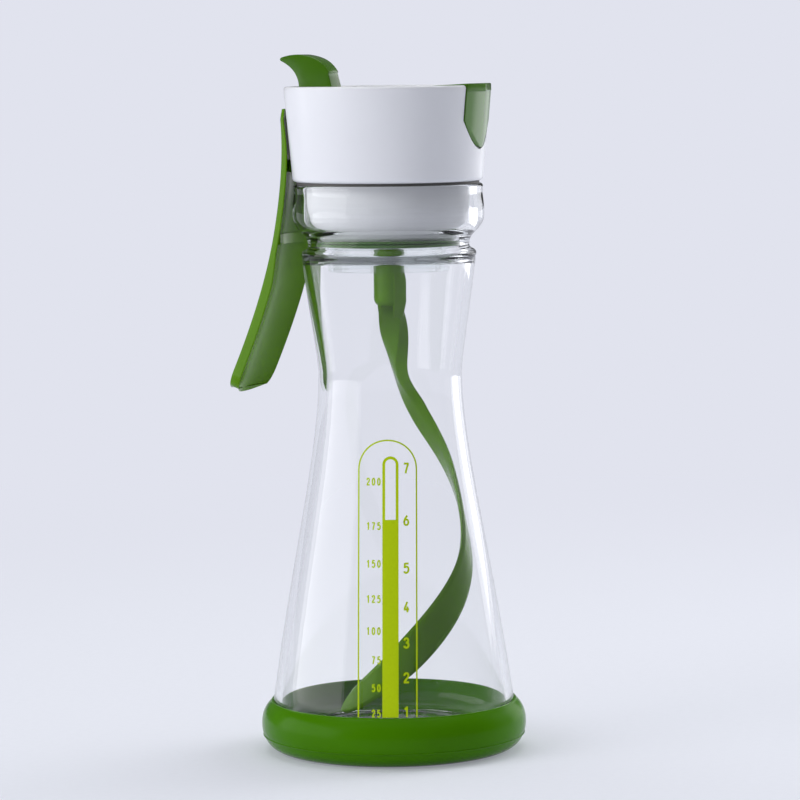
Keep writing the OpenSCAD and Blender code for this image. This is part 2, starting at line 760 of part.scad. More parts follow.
lug_up = 1.8;
boss_r = 2.5;
boss_half_w = 2;
spring_wire_r = 0.3;
spring_r = pin_r + 0.35 + spring_wire_r;
spring_turns = 3;
spring_y = boss_half_w + 0.25 + spring_wire_r;
spring_len = pivot_ear_y - 0.25 - spring_wire_r - spring_y;
spring_steps = 8 * spring_turns;
spring_path = [for (i = [0:spring_steps]) let (a = 360 * spring_turns * i / spring_steps)
  [-pivot_out + spring_r * cos(a), spring_y + spring_len * i / spring_steps, pivot_z + spring_r * sin(a)]];
spring_gap = min([for (i = [0:len(spring_path) - 1], j = [i + 5:1:len(spring_path) - 1])
  norm(spring_path[i] - spring_path[j])]) - 2 * spring_wire_r;
echo("least gap of the return spring's coil to itself", spring_gap);

module return_spring() {
  color([0.7, 0.72, 0.75])
  skin([for (i = [0:len(spring_path) - 1])
    tube_ring(spring_path[i], tangent(spring_path, i), [0, 1, 0], spring_wire_r, 6)]);
}

// Drive shaft and its lower end in the hub
shaft_low_z = hub_top_z - 9;

module drive_shaft() {
  color([0.7, 0.72, 0.75])
  rotate_extrude()
  polygon([[0, shaft_low_z], [shaft_r, shaft_low_z], [shaft_r, clip_z - 0.02],
    [shaft_r - clip_depth, clip_z - 0.02], [shaft_r - clip_depth, clip_z + clip_t + 0.02],
    [shaft_r, clip_z + clip_t + 0.02], [shaft_r, pinion_z - 0.1], [journal_r, pinion_z - 0.1],
    [journal_r, shaft_top_z], [0, shaft_top_z]]);
}

tang_h = 6;
tang_half_w = hub_r - 0.9;
tang_t = blade_t - 0.3;

module blade_hub() {
  color([0.22, 0.42, 0.03])
  difference() {
    rotate_extrude()
    polygon(concat([[0, hub_z]],
      bez([hub_r - 2.4, hub_z], [hub_r - 1, hub_z], [hub_r, hub_z + 1], [hub_r, hub_z + 2.6], 5),
      [[hub_r, hub_top_z - 1.6], [hub_r - 1.2, hub_top_z - 1], [hub_r - 1.6, hub_top_z], [0, hub_top_z]]));
    translate([0, 0, shaft_low_z - fit_gap])
    cylinder(h = hub_top_z, r = shaft_r + fit_gap);
    rotate([0, 0, tang_turn])
    translate([-tang_t / 2 - fit_gap, -tang_half_w - fit_gap, hub_z - cut])
    cube([tang_t + 2 * fit_gap, 2 * (tang_half_w + fit_gap), tang_h + cut]);
  }
}

// Mixing blade: a strip that leaves the axis, winds down along the wall and ends over the floor.
// Each station down the blade gives its turn round the axis from the front view's right, its share
// of the free radius, its share of the drop, the way its face turns, and its share of the half width.
blade_stations = [[-60, 0, 0, 146, 0.86], [-68, 0.38, 0.15, 60, 0.86], [-49, 0.7, 0.27, 55, 1],
  [-13, 0.91, 0.42, 27, 1.06], [18, 0.93, 0.63, -4, 1.1], [76, 0.74, 0.85, -67, 1],
  [135, 0.66, 1, -150, 0.6]];
full_reach = 0.93;
view_turn = 21;
blade_top_z = hub_z;
blade_steps = 48;
blade_end = 0.045;
ridge_side = 0.35;
tang_turn = blade_stations[0][3];

// Smooth value at share s of the way through a list of stations
function station(v, i) = i < 0 ? 2 * v[0] - v[1] : i < len(v) ? v[i] : 2 * v[len(v) - 1] - v[len(v) - 2];
function smooth_at(v, s) = let (x = s * (len(v) - 1), i = min(floor(x), len(v) - 2), t = x - i,
    a = station(v, i - 1), b = station(v, i), c = station(v, i + 1), d = station(v, i + 2))
  0.5 * (2 * b + (c - a) * t + (2 * a - 5 * b + 4 * c - d) * t * t + (3 * b - 3 * c + d - a) * t * t * t);

function free_r(z) = inner_at(z + lift) - blade_t / 2 - move_gap;
function blade_z(q) = blade_top_z - (blade_top_z - floor_z - blade_low) * q[2];
function blade_r(q, z) = min(free_r(z - blade_half_w), free_r(z)) * max(0, q[1]) * blade_reach / full_reach;
function blade_at(s) = let (q = smooth_at(blade_stations, s), z = blade_z(q), a = view_turn - q[0],
    r = blade_r(q, z)) [r * cos(a), r * sin(a), z];
function half_w_at(s) = let (q = min(1, (1 - s) / blade_end))
  blade_half_w * smooth_at(blade_stations, s)[4] * max(0.12, sqrt(1 - pow(1 - q, 2)));
function ridge_at(s) = blade_t / 2 + blade_ridge * (1 - ramp(s, 0.16, 0.36));

// One cross-section of the strip, thinner toward its edges, with the ridge on its inner face
function strip_ring(c, t, face, half_w, half_t, ridge) =
  let (b = unit(cross([cos(face), sin(face), 0], t)), n = cross(t, b), k = ridge / half_t)
  [for (q = [[-1, 0], [-0.75, 0.85], [0, 1], [0.75, 0.85], [1, 0], [0.8, -0.7], [-ridge_side, -k],
      [-0.85, -0.7]])
    c + q[0] * half_w * b + q[1] * half_t * n];

blade_s = [for (i = [0:blade_steps]) i / blade_steps];
blade_line = [for (s = blade_s) blade_at(s)];

module mixing_blade() {
  color([0.22, 0.42, 0.03])
  union() {
    skin([for (i = [0:blade_steps])
      strip_ring(blade_line[i], i == 0 ? [0, 0, -1] : tangent(blade_line, i),
        smooth_at(blade_stations, blade_s[i])[3], half_w_at(blade_s[i]), blade_t / 2,
        ridge_at(blade_s[i]))]);
    rotate([0, 0, tang_turn])
    translate([-tang_t / 2, -tang_half_w, blade_top_z - 0.4])
    cube([tang_t, 2 * tang_half_w, tang_h + 0.3]);
  }
}

// Trigger: a curved channel outside the cap, on a lug that passes through the cap's wall
trigger_steps = 26;
trigger_top_z = pivot_z + 17.2;
trigger_top_x = cap_r(trigger_top_z) + 0.4;
trigger_low_z = pivot_z - trigger_drop;
rib_t = 3;
rib_z = lip_z - 18;
rib_clear = 3.7;
rib_half_w = trigger_half_w * 0.8;

trigger_line = bez([-trigger_top_x, 0, trigger_top_z], [-cap_low_r + 0.9, 0, pivot_z - 6.4],
  [-cap_low_r - 1.8, 0, pivot_z - 28.4], [-trigger_reach, 0, trigger_low_z], trigger_steps);

// The lug starts inside the channel and ends inside the cap's wall
heights_to_line = [for (p = trigger_line) [p[2], p[0]]];
lug_half_w = 4.4;
lug_x = lookup(pivot_z, heights_to_line) - 0.4 * trigger_bulge;
lug_in = -cap_low_r + 2.4;

// Its half width: narrow at the top, with rounded corners at the square lower end
end_corner = 5;
end_start = 0.93;
function end_round(t) = end_corner * (1 - sqrt(1 - 0.96 * pow(max(0, t - end_start) / (1 - end_start), 2)));
function channel_half_w(t) = trigger_half_w * (0.74 + 0.26 * ramp(t, -0.1, 0.5)) - end_round(t)
  - 2 * (1 - ramp(t, -0.01, 0.05));
function channel_t(t) = 1 + 0.8 * ramp(t, 0, 0.22) + 1.1 * ramp(t, 0.56, 0.7);
function channel_bulge(t) = trigger_bulge * pow(channel_half_w(t) / trigger_half_w, 2);
end_sag = 2.6;

function channel_ring(i) = let (t = i / trigger_steps, c = trigger_line[i], d = tangent(trigger_line, i),
    out = unit(cross([0, 1, 0], d)), hw = channel_half_w(t), th = channel_t(t), s = channel_bulge(t),
    across = function (k) c + [0, hw * k / 4, 0] + end_sag * ramp(t, 0.7, 1) * (1 - pow(k / 4, 2)) * d)
  concat([for (k = [4:-1:-4]) across(k) + out * s * (1 - pow(k / 4, 2))],
    [for (k = [-4:4]) across(k) + out * (s * (1 - pow(k / 4, 2)) - th)]);

module trigger() {
  color([0.24, 0.44, 0.03])
  difference() {
    union() {
      skin([for (i = [0:trigger_steps]) channel_ring(i)]);
      channel_rib();
      translate([lug_x, -lug_half_w, pivot_z - lug_up])
      cube([lug_in - lug_x, 2 * lug_half_w, 2 * lug_up]);
      translate([lug_in - 1, -boss_half_w, pivot_z - lug_up])
      cube([1 - lug_in - pivot_out, 2 * boss_half_w, 2 * lug_up]);
      along_y(-boss_half_w, boss_half_w)
      union() {
        translate([-pivot_out, pivot_z]) circle(r = boss_r);
        polygon([[-pivot_out - 1.6, pivot_z], [-pivot_out + 1.9, pivot_z],
          [tip_x + 1, tip_z], [tip_x - 1, tip_z]]);
      }
      along_y(-yoke_y + 0.3, yoke_y - 0.3)
      translate([tip_x, tip_z]) circle(r = tip_r);
    }
    translate([-pivot_out, 0, pivot_z])
    rotate([90, 0, 0])
    cylinder(h = 3 * boss_half_w, r = pin_r + run_gap, center = true);
  }
}

// Cross rib inside the channel, clear of the collar through the whole swing
module channel_rib() {
  mid_x = lookup(rib_z + rib_t / 2, heights_to_line) - trigger_bulge + 1.1;
  back_r = (pow(trigger_half_w, 2) + pow(trigger_bulge, 2)) / (2 * trigger_bulge);
  translate([0, 0, rib_z])
  linear_extrude(rib_t)
  difference() {
    intersection() {
      translate([mid_x + back_r, 0]) circle(r = back_r);
      translate([-cap_top_r * 2, -rib_half_w]) square([cap_top_r * 2, 2 * rib_half_w]);
    }
    circle(r = collar_r + rib_clear);
  }
}

// Thumb horn, arm, spout flap and tongue in one rocker
horn_front = 16.2;
horn_tip_out = 33;
horn_lip = [-horn_front - 0.9, cap_top_z + horn_h * 0.44];

module pour_lever() {
  z0 = arm_z;
  top = cap_top_z + horn_h;
  color([0.24, 0.46, 0.03])
  difference() {
    union() {
      along_y(-horn_half_w, horn_half_w)
      polygon(concat(
        [[-horn_front, z0], [-horn_front, cap_top_z - 0.4], horn_lip + [-0.2, -0.5], horn_lip],
        but_first(bez(horn_lip, horn_lip + [-1.8, 3], [-horn_front - 5, top - 0.8],
          [-horn_back + 1, top - 0.1], 9)),
        but_first(bez([-horn_back + 1, top - 0.1], [-horn_back - 1.6, top + 0.2],
          [-horn_tip_out + 1.8, top - 0.4], [-horn_tip_out + 0.4, top - 0.9], 4)),
        [[-horn_tip_out, top - 1.3], [-horn_tip_out + 0.1, top - 1.8]],
        but_first(bez([-horn_tip_out + 0.1, top - 1.8], [-horn_back - 3, top - 3.2],
          [-horn_back + 0.1, top - 5.4], [-horn_back + 0.1, cap_top_z - 0.6], 8)),
        [[-horn_back + 0.1, z0]]));
      translate([-horn_front - 1, -arm_half_w, z0])
      cube([horn_front + 21, 2 * arm_half_w, arm_t]);
      along_y(-horn_half_w, horn_half_w)
      translate([-lever_out, lever_z]) circle(r = lever_boss_r);
      flap();
    }
    translate([-lever_out, 0, lever_z])
    rotate([90, 0, 0])
    cylinder(h = 3 * horn_half_w, r = pin_r + run_gap, center = true);
  }
}

keel_out = 0.5;

module flap_plan(back) {
  edge_x = sqrt(pow(cap_top_r, 2) - pow(flap_half_w, 2)) + 0.25;
  polygon([[back, -flap_half_w], [edge_x, -flap_half_w], [cap_top_r + keel_out, 0], [edge_x, flap_half_w],
    [back, flap_half_w]]);
}

module flap() {
  back = 17;
  z_tip = cap_top_z - tongue_h;
  flap_top_z = flap_z + flap_t;
  translate([0, 0, flap_z])
  linear_extrude(flap_t - 0.4) flap_plan(back);
  translate([0, 0, flap_top_z - 0.4 - fit_gap])
  linear_extrude(0.4 + fit_gap)
  polygon([[back + 0.5, -flap_half_w + 0.5], [cap_top_r - 2.4, -flap_half_w + 0.5], [cap_top_r - 0.1, 0],
    [cap_top_r - 2.4, flap_half_w - 0.5], [back + 0.5, flap_half_w - 0.5]]);
  difference() {
    intersection() {
      along_x(back, cap_top_r + 2)
      polygon(tongue_outline(flap_half_w, z_tip, flap_z + fit_gap));
      translate([cap_top_r, 0, cap_top_z])
      rotate([0, cap_tilt, 0])
      translate([-cap_top_r, 0, -tongue_h * 1.2])
      linear_extrude(tongue_h * 1.3) flap_plan(back);
    }
    cone_ring(z_tip - cut, cap_top_z + cut, recess_t - tongue_gap);
  }
}

module spout_seal() {
  color([0.85, 0.87, 0.85])
  translate([duct_out, 0, 0])
  union() {
    translate([0, 0, deck_z + 0.02])
    cylinder(h = arm_z - deck_z - 0.02, r = duct_r + duct_wall - 0.2);
    translate([0, 0, deck_z - 1.4])
    cylinder(h = 1.5, r1 = duct_r - 0.5, r2 = duct_r - 0.25);
  }
}

base_boot();
bottle();
cap_shell();
cap_deck();
plug_bowl();
neck_gasket();
lip_gasket();
shaft_guide();
shaft_bush();
shaft_seal();
gear_plate();
plate_screws();
gear_axle();
pour_duct();
trigger_pin();
return_spring();
lever_pin();
drive_shaft();
shaft_clip();
center_pinion();
blade_hub();
mixing_blade();
compound_gear();
drive_rack();
trigger();
pour_lever();
spout_seal();
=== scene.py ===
"""Looks of a salad dressing shaker bottle whose squeeze trigger spins a mixing blade.

Sizes are in millimetres, as in the part's source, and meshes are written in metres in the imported
model's frame: +Z up, the origin on the bottle's axis in the plane of its foot, the spout toward
+X and the trigger toward -X.
"""

import logging
import math
from collections.abc import Callable, Sequence
from dataclasses import dataclass
from enum import Enum

import bmesh
import bpy
from mathutils import Matrix, Vector


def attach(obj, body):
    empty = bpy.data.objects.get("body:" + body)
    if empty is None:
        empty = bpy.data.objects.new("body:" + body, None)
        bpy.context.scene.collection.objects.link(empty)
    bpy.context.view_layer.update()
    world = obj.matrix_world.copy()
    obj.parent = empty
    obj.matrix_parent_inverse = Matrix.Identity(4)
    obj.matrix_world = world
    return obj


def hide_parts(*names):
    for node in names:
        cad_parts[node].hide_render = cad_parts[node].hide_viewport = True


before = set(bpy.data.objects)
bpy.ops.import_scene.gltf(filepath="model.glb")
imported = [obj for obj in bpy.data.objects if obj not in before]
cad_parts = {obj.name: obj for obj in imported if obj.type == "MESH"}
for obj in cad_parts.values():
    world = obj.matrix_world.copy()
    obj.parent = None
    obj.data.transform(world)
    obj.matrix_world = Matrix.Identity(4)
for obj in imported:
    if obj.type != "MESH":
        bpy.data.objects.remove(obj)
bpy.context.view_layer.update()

MM = 0.001
Point2 = tuple[float, float]
Colour = tuple[float, float, float]
log = logging.getLogger("shaker")


# Curves and small sums


def bezier(a: Sequence[float], b: Sequence[float], c: Sequence[float], d: Sequence[float],
           steps: int) -> list[tuple[float, ...]]:
    """Points along a cubic curve.

    Args:
        a, b, c, d: The curve's two ends (a, d) and its two handles (b, c).
        steps: How many parts the curve is cut into.

    Returns:
        steps + 1 points.
    """
    found = []
    for i in range(steps + 1):
        t = i / steps
        s = 1 - t
        found.append(tuple(s**3 * p + 3 * t * s * s * q + 3 * t * t * s * r + t**3 * e
                           for p, q, r, e in zip(a, b, c, d)))
    return found


def ramp(x: float, low: float, high: float) -> float:
    """Smooth step from 0 at low to 1 at high."""
    t = min(1.0, max(0.0, (x - low) / (high - low)))
    return t * t * (3 - 2 * t)


def lookup(x: float, table: Sequence[Point2]) -> float:
    """Straight-line reading of a table whose first column rises.

    Args:
        x: Where to read.
        table: Pairs of position and value.

    Returns:
        The value at x, held level past the ends.
    """
    if x <= table[0][0]:
        return table[0][1]
    for (x0, v0), (x1, v1) in zip(table, table[1:]):
        if x <= x1:
            return v0 + (v1 - v0) * (x - x0) / max(1e-9, x1 - x0)
    return table[-1][1]


def shade(red: float, green: float, blue: float) -> Colour:
    """Linear colour of a 0 to 255 screen colour."""
    return tuple(v / 12.92 / 255 if v < 10.3 else ((v / 255 + 0.055) / 1.055)**2.4
                 for v in (red, green, blue))


# Node trees


class Wire:
    """A node's output that takes part in Python sums, each of which adds a Math node."""

    def __init__(self, book: "NodeBook", socket: bpy.types.NodeSocket) -> None:
        """Keeps the socket and the book that adds nodes beside it."""
        self.book = book
        self.socket = socket

    def _sum(self, operation: str, first: "Wire | float", second: "Wire | float") -> "Wire":
        """Adds a Math node of two values."""
        return self.book.add("ShaderNodeMath", {"operation": operation}, {0: first, 1: second})

    def __add__(self, other: "Wire | float") -> "Wire":
        """This value plus another."""
        return self._sum("ADD", self, other)

    def __radd__(self, other: float) -> "Wire":
        """A number plus this value."""
        return self._sum("ADD", other, self)

    def __sub__(self, other: "Wire | float") -> "Wire":
        """This value less another."""
        return self._sum("SUBTRACT", self, other)

    def __rsub__(self, other: float) -> "Wire":
        """A number less this value."""
        return self._sum("SUBTRACT", other, self)

    def __mul__(self, other: "Wire | float") -> "Wire":
        """This value times another."""
        return self._sum("MULTIPLY", self, other)

    def __rmul__(self, other: float) -> "Wire":
        """A number times this value."""
        return self._sum("MULTIPLY", other, self)

    def at_least(self, other: "Wire | float") -> "Wire":
        """The larger of two values."""
        return self._sum("MAXIMUM", self, other)

    def at_most(self, other: "Wire | float") -> "Wire":
        """The smaller of two values."""
        return self._sum("MINIMUM", self, other)

    def out(self, name: str) -> "Wire":
        """Another output of the same node."""
        return Wire(self.book, self.socket.node.outputs[name])


class NodeBook:
    """Adds nodes to one tree: the type, then its settings, then its sockets."""

    def __init__(self, tree: bpy.types.NodeTree) -> None:
        """Takes the tree that the nodes go into."""
        self.tree = tree

    def add(self, kind: str, settings: dict | None = None, sockets: dict | None = None,
            out: int | str = 0) -> Wire | None:
        """Adds one node.

        Args:
            kind: The node's type.
            settings: Its properties, set before any socket.
            sockets: Values, wires or sockets by input name or number.
            out: The output to return.

        Returns:
            That output, as a wire, or None for a node without outputs.
        """
        node = self.tree.nodes.new(kind)
        for name, value in (settings or {}).items():
            setattr(node, name, value)
        for name, value in (sockets or {}).items():
            target = node.inputs[name]
            if isinstance(value, Wire):
                self.tree.links.new(value.socket, target)
            elif isinstance(value, bpy.types.NodeSocket):
                self.tree.links.new(value, target)
            else:
                if target.type == "RGBA" and len(value) == 3:
                    value = (*value, 1.0)
                target.default_value = value
        return Wire(self, node.outputs[out]) if node.outputs else None

    def mix(self, factor: Wire | float, a: Wire | Colour, b: Wire | Colour) -> Wire:
        """A colour between two colours.

        Args:
            factor: 0 for the first, 1 for the second.
            a, b: The two colours.

        Returns:
            The mixed colour.
        """
        return self.add("ShaderNodeMix", {"data_type": "RGBA"}, {0: factor, 6: a, 7: b}, out=2)

    def grain(self, place: Wire, per_metre: float, detail: float = 2.0) -> Wire:
        """Soft noise from 0 to 1.

        Args:
            place: The coordinates to read.
            per_metre: How many cells a metre holds.
            detail: Octaves of finer noise.

        Returns:
            The noise.
        """
        return self.add("ShaderNodeTexNoise", None,
                        {"Vector": place, "Scale": per_metre, "Detail": detail,
                         "Roughness": 0.5})

    def place(self, scale: tuple[float, float, float] = (1, 1, 1)) -> Wire:
        """The piece's own coordinates, stretched by a scale."""
        own = self.add("ShaderNodeTexCoord", out="Object")
        return self.add("ShaderNodeMapping", None, {"Vector": own, "Scale": scale})

    def bump(self, strength: float, height: Wire, depth: float = 0.0001) -> Wire:
        """The surface's direction, roughened by a height.

        Args:
            strength: How much it shows, from 0 to 1.
            height: The height, from 0 to 1.
            depth: What a height of 1 stands for, in metres.

        Returns:
            The direction.
        """
        return self.add("ShaderNodeBump", None,
                        {"Strength": strength, "Distance": depth, "Height": height})


def empty_book(owner: bpy.types.Material | bpy.types.World) -> NodeBook:
    """The book of a material's or world's tree, emptied first."""
    owner.use_nodes = True
    owner.node_tree.nodes.clear()
    return NodeBook(owner.node_tree)


# Finishes


@dataclass(frozen=True)
class Finish:
    """A surface: its material is built once and shared by the pieces that wear it.

    The colour is the moulded colour, lightened or darkened on a few finishes as painted light and
    shade, and the slot is the record's material slot.
    """

    name: str
    slot: str
    colour: Colour
    roughness: float = 0.3

    def material(self) -> bpy.types.Material:
        """The finish's material, made at its first use."""
        found = bpy.data.materials.get(self.name)
        if found is None:
            found = bpy.data.materials.new(self.name)
            self.build(empty_book(found))
        return found

    def build(self, book: NodeBook) -> None:
        """Fills the tree and links its output.

        Args:
            book: The book of the material's tree.
        """
        book.add("ShaderNodeOutputMaterial", None, {"Surface": self.surface(book)})

    def surface(self, book: NodeBook) -> Wire:
        """The shader of the surface; each kind of finish has its own."""
        raise NotImplementedError


@dataclass(frozen=True)
class MouldedPlastic(Finish):
    """Injection-moulded plastic: an even colour with faint clouds and an eggshell skin."""

    cloud: float = 0.06
    cells: float = 60.0
    skin: float = 0.02
    skin_cells: float = 1800.0
    spread: float = 0.06
    specular: float = 0.5
    subsurface: float = 0.0

    def surface(self, book: NodeBook) -> Wire:
        """A principled shader with clouded colour, uneven gloss and a fine skin."""
        place = book.place()
        clouds = book.grain(place, self.cells, 3.0)
        fine = book.grain(place, self.skin_cells, 2.0)
        deep = tuple(c * (1 - 3 * self.cloud) for c in self.colour)
        colour = book.mix(clouds, deep, tuple(min(1.0, c * (1 + self.cloud)) for c in self.colour))
        gloss = clouds * self.spread + fine * (self.spread / 2) + (self.roughness - self.spread * 0.75)
        return book.add("ShaderNodeBsdfPrincipled", None, {
            "Base Color": colour, "Roughness": gloss,
            "Normal": book.bump(self.skin, fine, 0.0004),
            "Specular IOR Level": self.specular, "Subsurface Weight": self.subsurface,
            "Subsurface Radius": (0.4, 0.4, 0.4), "Subsurface Scale": 0.002})


@dataclass(frozen=True)
class ClearPlastic(Finish):
    """Polished clear plastic whose long sight lines, along the walls, turn slightly grey."""

    ior: float = 1.5
    density: float = 30.0
    tint: Colour = (0.7, 0.74, 0.75)
    smear: float = 0.015
    straight: float = 0.0

    def build(self, book: NodeBook) -> None:
        """Links the surface and the tint of the plastic's inside."""
        inside = book.add("ShaderNodeVolumeAbsorption", None,
                          {"Color": self.tint, "Density": self.density})
        book.add("ShaderNodeOutputMaterial", None,
                 {"Surface": self.surface(book), "Volume": inside})

    def surface(self, book: NodeBook) -> Wire:
        """Clear shader with faint smears; it lets light through to what is behind it."""
        smears = book.grain(book.place((1, 1, 0.35)), 35.0, 4.0)
        body = book.add("ShaderNodeBsdfPrincipled", None, {
            "Base Color": self.colour, "Roughness": smears * self.smear,
            "IOR": self.ior, "Transmission Weight": 1.0})
        through = book.add("ShaderNodeBsdfTransparent", None, {"Color": (0.97, 0.98, 0.98)})
        shadow = book.add("ShaderNodeLightPath", out="Is Shadow Ray")
        return book.add("ShaderNodeMixShader", None,
                        {0: shadow.at_least(self.straight), 1: body, 2: through})


@dataclass(frozen=True)
class DrawnSteel(Finish):
    """Bright steel with fine lines along its length."""

    lines: float = 9000.0

    def surface(self, book: NodeBook) -> Wire:
        """Metal whose gloss and skin run in lines."""
        fine = book.grain(book.place((1, 1, 0.02)), self.lines, 2.0)
        return book.add("ShaderNodeBsdfPrincipled", None, {
            "Base Color": book.mix(fine, self.colour, (0.75, 0.76, 0.78)),
            "Metallic": 1.0, "Roughness": fine * 0.15 + (self.roughness - 0.07),
            "Normal": book.bump(0.08, fine)})


@dataclass(frozen=True)
class PrintInk(Finish):
    """Screen-printed ink with a slight mottle and a raised film's sheen."""

    def surface(self, book: NodeBook) -> Wire:
        """Satin ink, a little thinner in places."""
        mottle = book.grain(book.place(), 1500.0, 3.0)
        thin = tuple(min(1.0, c * 1.18) for c in self.colour)
        return book.add("ShaderNodeBsdfPrincipled", None, {
            "Base Color": book.mix(mottle, self.colour, thin),
            "Normal": book.bump(0.15, mottle),
            "Specular IOR Level": 0.15,
            "Roughness": mottle * 0.15 + (self.roughness - 0.07)})


class Finishes(Enum):
    """Every finish on the bottle."""

    CLEAR = ClearPlastic("clear_wall", "clear_body", (1.0, 1.0, 1.0), ior=1.32)
    CLEAR_GUIDE = ClearPlastic("clear_guide_wall", "clear_guide", (0.97, 0.99, 0.99), smear=0.05,
                               ior=1.2, density=2.0, straight=0.85)
    WATER = ClearPlastic("water", "clear_body", (1.0, 1.0, 1.0), ior=1.33, density=0.5)
    WHITE = MouldedPlastic("white_cap", "white_gloss", shade(229, 230, 236), 0.22, cloud=0.01,
                           cells=40.0, skin=0.03, specular=0.2, subsurface=0.08)
    WHITE_INNER = MouldedPlastic("white_satin", "white_inner", shade(228, 229, 233), 0.38,
                                 cloud=0.015, skin=0.08, specular=0.2)
    GREEN = MouldedPlastic("green_lever", "green_gloss", shade(62, 108, 2), 0.16, cloud=0.05,
                           skin=0.04, specular=0.4)
    # The lever's green painted lighter for the trigger, as painted sheen standing in for the softbox
    # light on its rim, with less gloss
    GREEN_TRIGGER = MouldedPlastic("green_trigger", "green_gloss", shade(84, 130, 4), 0.18,
                                   cloud=0.05, skin=0.04, specular=0.12)
    GREEN_BLADE = MouldedPlastic("green_strip", "green_blade", shade(78, 122, 0), 0.18,
                                 cloud=0.06, skin=0.08, spread=0.08, specular=0.12)
    GREEN_RUBBER = MouldedPlastic("green_boot", "green_rubber", shade(66, 122, 0), 0.2,
                                  cloud=0.04, skin=0.06, spread=0.08, specular=0.07)
    # Dark grey rubber for the lip gasket; its dark colour is also painted shade for the shadowed gap
    # between the cap and the bottle's lip
    RIM_SEAL = MouldedPlastic("dark_seal", "seal_rubber", shade(74, 72, 70), 0.5, cloud=0.05,
                              skin=0.15)
    SEAL = MouldedPlastic("green_seal", "seal_rubber", shade(58, 104, 30), 0.42, cloud=0.08,
                          skin=0.15)
    GEAR = MouldedPlastic("gear_plastic", "gear_plastic", shade(228, 224, 210), 0.42,
                          cloud=0.03, skin=0.1)
    SOFT_SEAL = MouldedPlastic("soft_seal", "soft_seal", shade(222, 225, 222), 0.5, cloud=0.03,
                               skin=0.15, subsurface=0.2)
    STEEL = DrawnSteel("drawn_steel", "steel", (0.58, 0.59, 0.61), 0.24)
    INK = PrintInk("green_ink", "green_gloss", shade(172, 196, 6), 0.45)


class Body(Enum):
    """The bodies that pieces ride on."""

    BOTTLE = "bottle"
    HEAD = "head"
    TRIGGER = "trigger"
    RACK = "drive_rack"
    GEAR = "compound_gear"
    AGITATOR = "agitator"
    LEVER = "pour_lever"


# Meshes


def add_object(name: str, data: bpy.types.ID) -> bpy.types.Object:
    """A new object of the scene that shows the data."""
    made = bpy.data.objects.new(name, data)
    bpy.context.scene.collection.objects.link(made)
    return made


class Form:
    """Builds one piece's mesh from closed shells, in millimetres."""

    def __init__(self) -> None:
        """Starts with no shell."""
        self.mesh = bmesh.new()

    def shell(self, points: Sequence[Sequence[float]], faces: Sequence[Sequence[int]]) -> "Form":
        """Adds a closed shell of points and faces, turned outward.

        Args:
            points: Places in millimetres.
            faces: Point numbers round each face.

        Returns:
            This form.
        """
        made = [self.mesh.verts.new(tuple(c * MM for c in p)) for p in points]
        laid = [self.mesh.faces.new([made[i] for i in f]) for f in faces]
        bmesh.ops.recalc_face_normals(self.mesh, faces=laid)
        return self

    def revolve(self, outline: Sequence[Point2], steps: int = 192) -> "Form":
        """Adds a turned shape; a point on the axis becomes a pole.

        Args:
            outline: Radius and height round the section, in order.
            steps: Facets round the axis.

        Returns:
            This form.
        """
        points: list[tuple[float, float, float]] = []
        rings: list[list[int]] = []
        for radius, height in outline:
            start = len(points)
            if radius < 1e-6:
                points.append((0.0, 0.0, height))
                rings.append([start] * steps)
                continue
            for k in range(steps):
                turn = math.tau * k / steps
                points.append((radius * math.cos(turn), radius * math.sin(turn), height))
            rings.append(list(range(start, start + steps)))
        faces = []
        for low, high in zip(rings, rings[1:] + rings[:1]):
            for k in range(steps):
                corner = [low[k], low[(k + 1) % steps], high[(k + 1) % steps], high[k]]
                corner = [c for i, c in enumerate(corner) if c not in corner[:i]]
                if len(corner) > 2:
                    faces.append(corner)
        return self.shell(points, faces)

    def loft(self, rings: Sequence[Sequence[Sequence[float]]]) -> "Form":
        """Adds a skin over rings of equal length, with a fan over each end.

        Args:
            rings: Closed rings of points, in order.

        Returns:
            This form.
        """
        n = len(rings[0])
        points = [p for ring in rings for p in ring]
        faces = [[i * n + k, i * n + (k + 1) % n, (i + 1) * n + (k + 1) % n, (i + 1) * n + k]
                 for i in range(len(rings) - 1) for k in range(n)]
        for first in (0, (len(rings) - 1) * n):
            ring = points[first:first + n]
            points.append(tuple(sum(axis) / n for axis in zip(*ring)))
            faces += [[len(points) - 1, first + k, first + (k + 1) % n] for k in range(n)]
        return self.shell(points, faces)

    def prism(self, outline: Sequence[Point2], low: float, high: float,
              to_space: Callable[[float, float, float], Sequence[float]]) -> "Form":
        """Adds a straight extrusion.

        Args:
            outline: The section, in order.
            low, high: The extrusion's two ends.
            to_space: Gives x, y, z from the section's two values and the extrusion's.

        Returns:
            This form.
        """
        n = len(outline)
        points = [to_space(a, b, end) for end in (low, high) for a, b in outline]
        faces = [[k, (k + 1) % n, n + (k + 1) % n, n + k] for k in range(n)]
        return self.shell(points, faces + [list(range(n)), list(range(n, 2 * n))])

    def piece(self, name: str) -> bpy.types.Object:
        """The form as an object of the scene.

        Args:
            name: The object's name.

        Returns:
            The object, at the origin.
        """
        mesh = bpy.data.meshes.new(name)
        self.mesh.to_mesh(mesh)
        self.mesh.free()
        return add_object(name, mesh)


def along_y(a: float, b: float, end: float) -> tuple[float, float, float]:
    """Section in X and Z, drawn out along Y."""
    return a, end, b


def along_x(a: float, b: float, end: float) -> tuple[float, float, float]:
    """Section in Y and Z, drawn out along X."""
    return end, a, b


def along_z(a: float, b: float, end: float) -> tuple[float, float, float]:
    """Section in X and Y, drawn out along Z."""
    return a, b, end


def box_outline(a0: float, a1: float, b0: float, b1: float) -> list[Point2]:
    """Corners of a rectangle between two first and two second values, in order."""
    return [(a0, b0), (a1, b0), (a1, b1), (a0, b1)]


def disc(x: float, y: float, radius: float, steps: int = 48) -> list[Point2]:
    """Points round a circle."""
    return [(x + radius * math.cos(math.tau * k / steps), y + radius * math.sin(math.tau * k / steps))
            for k in range(steps)]


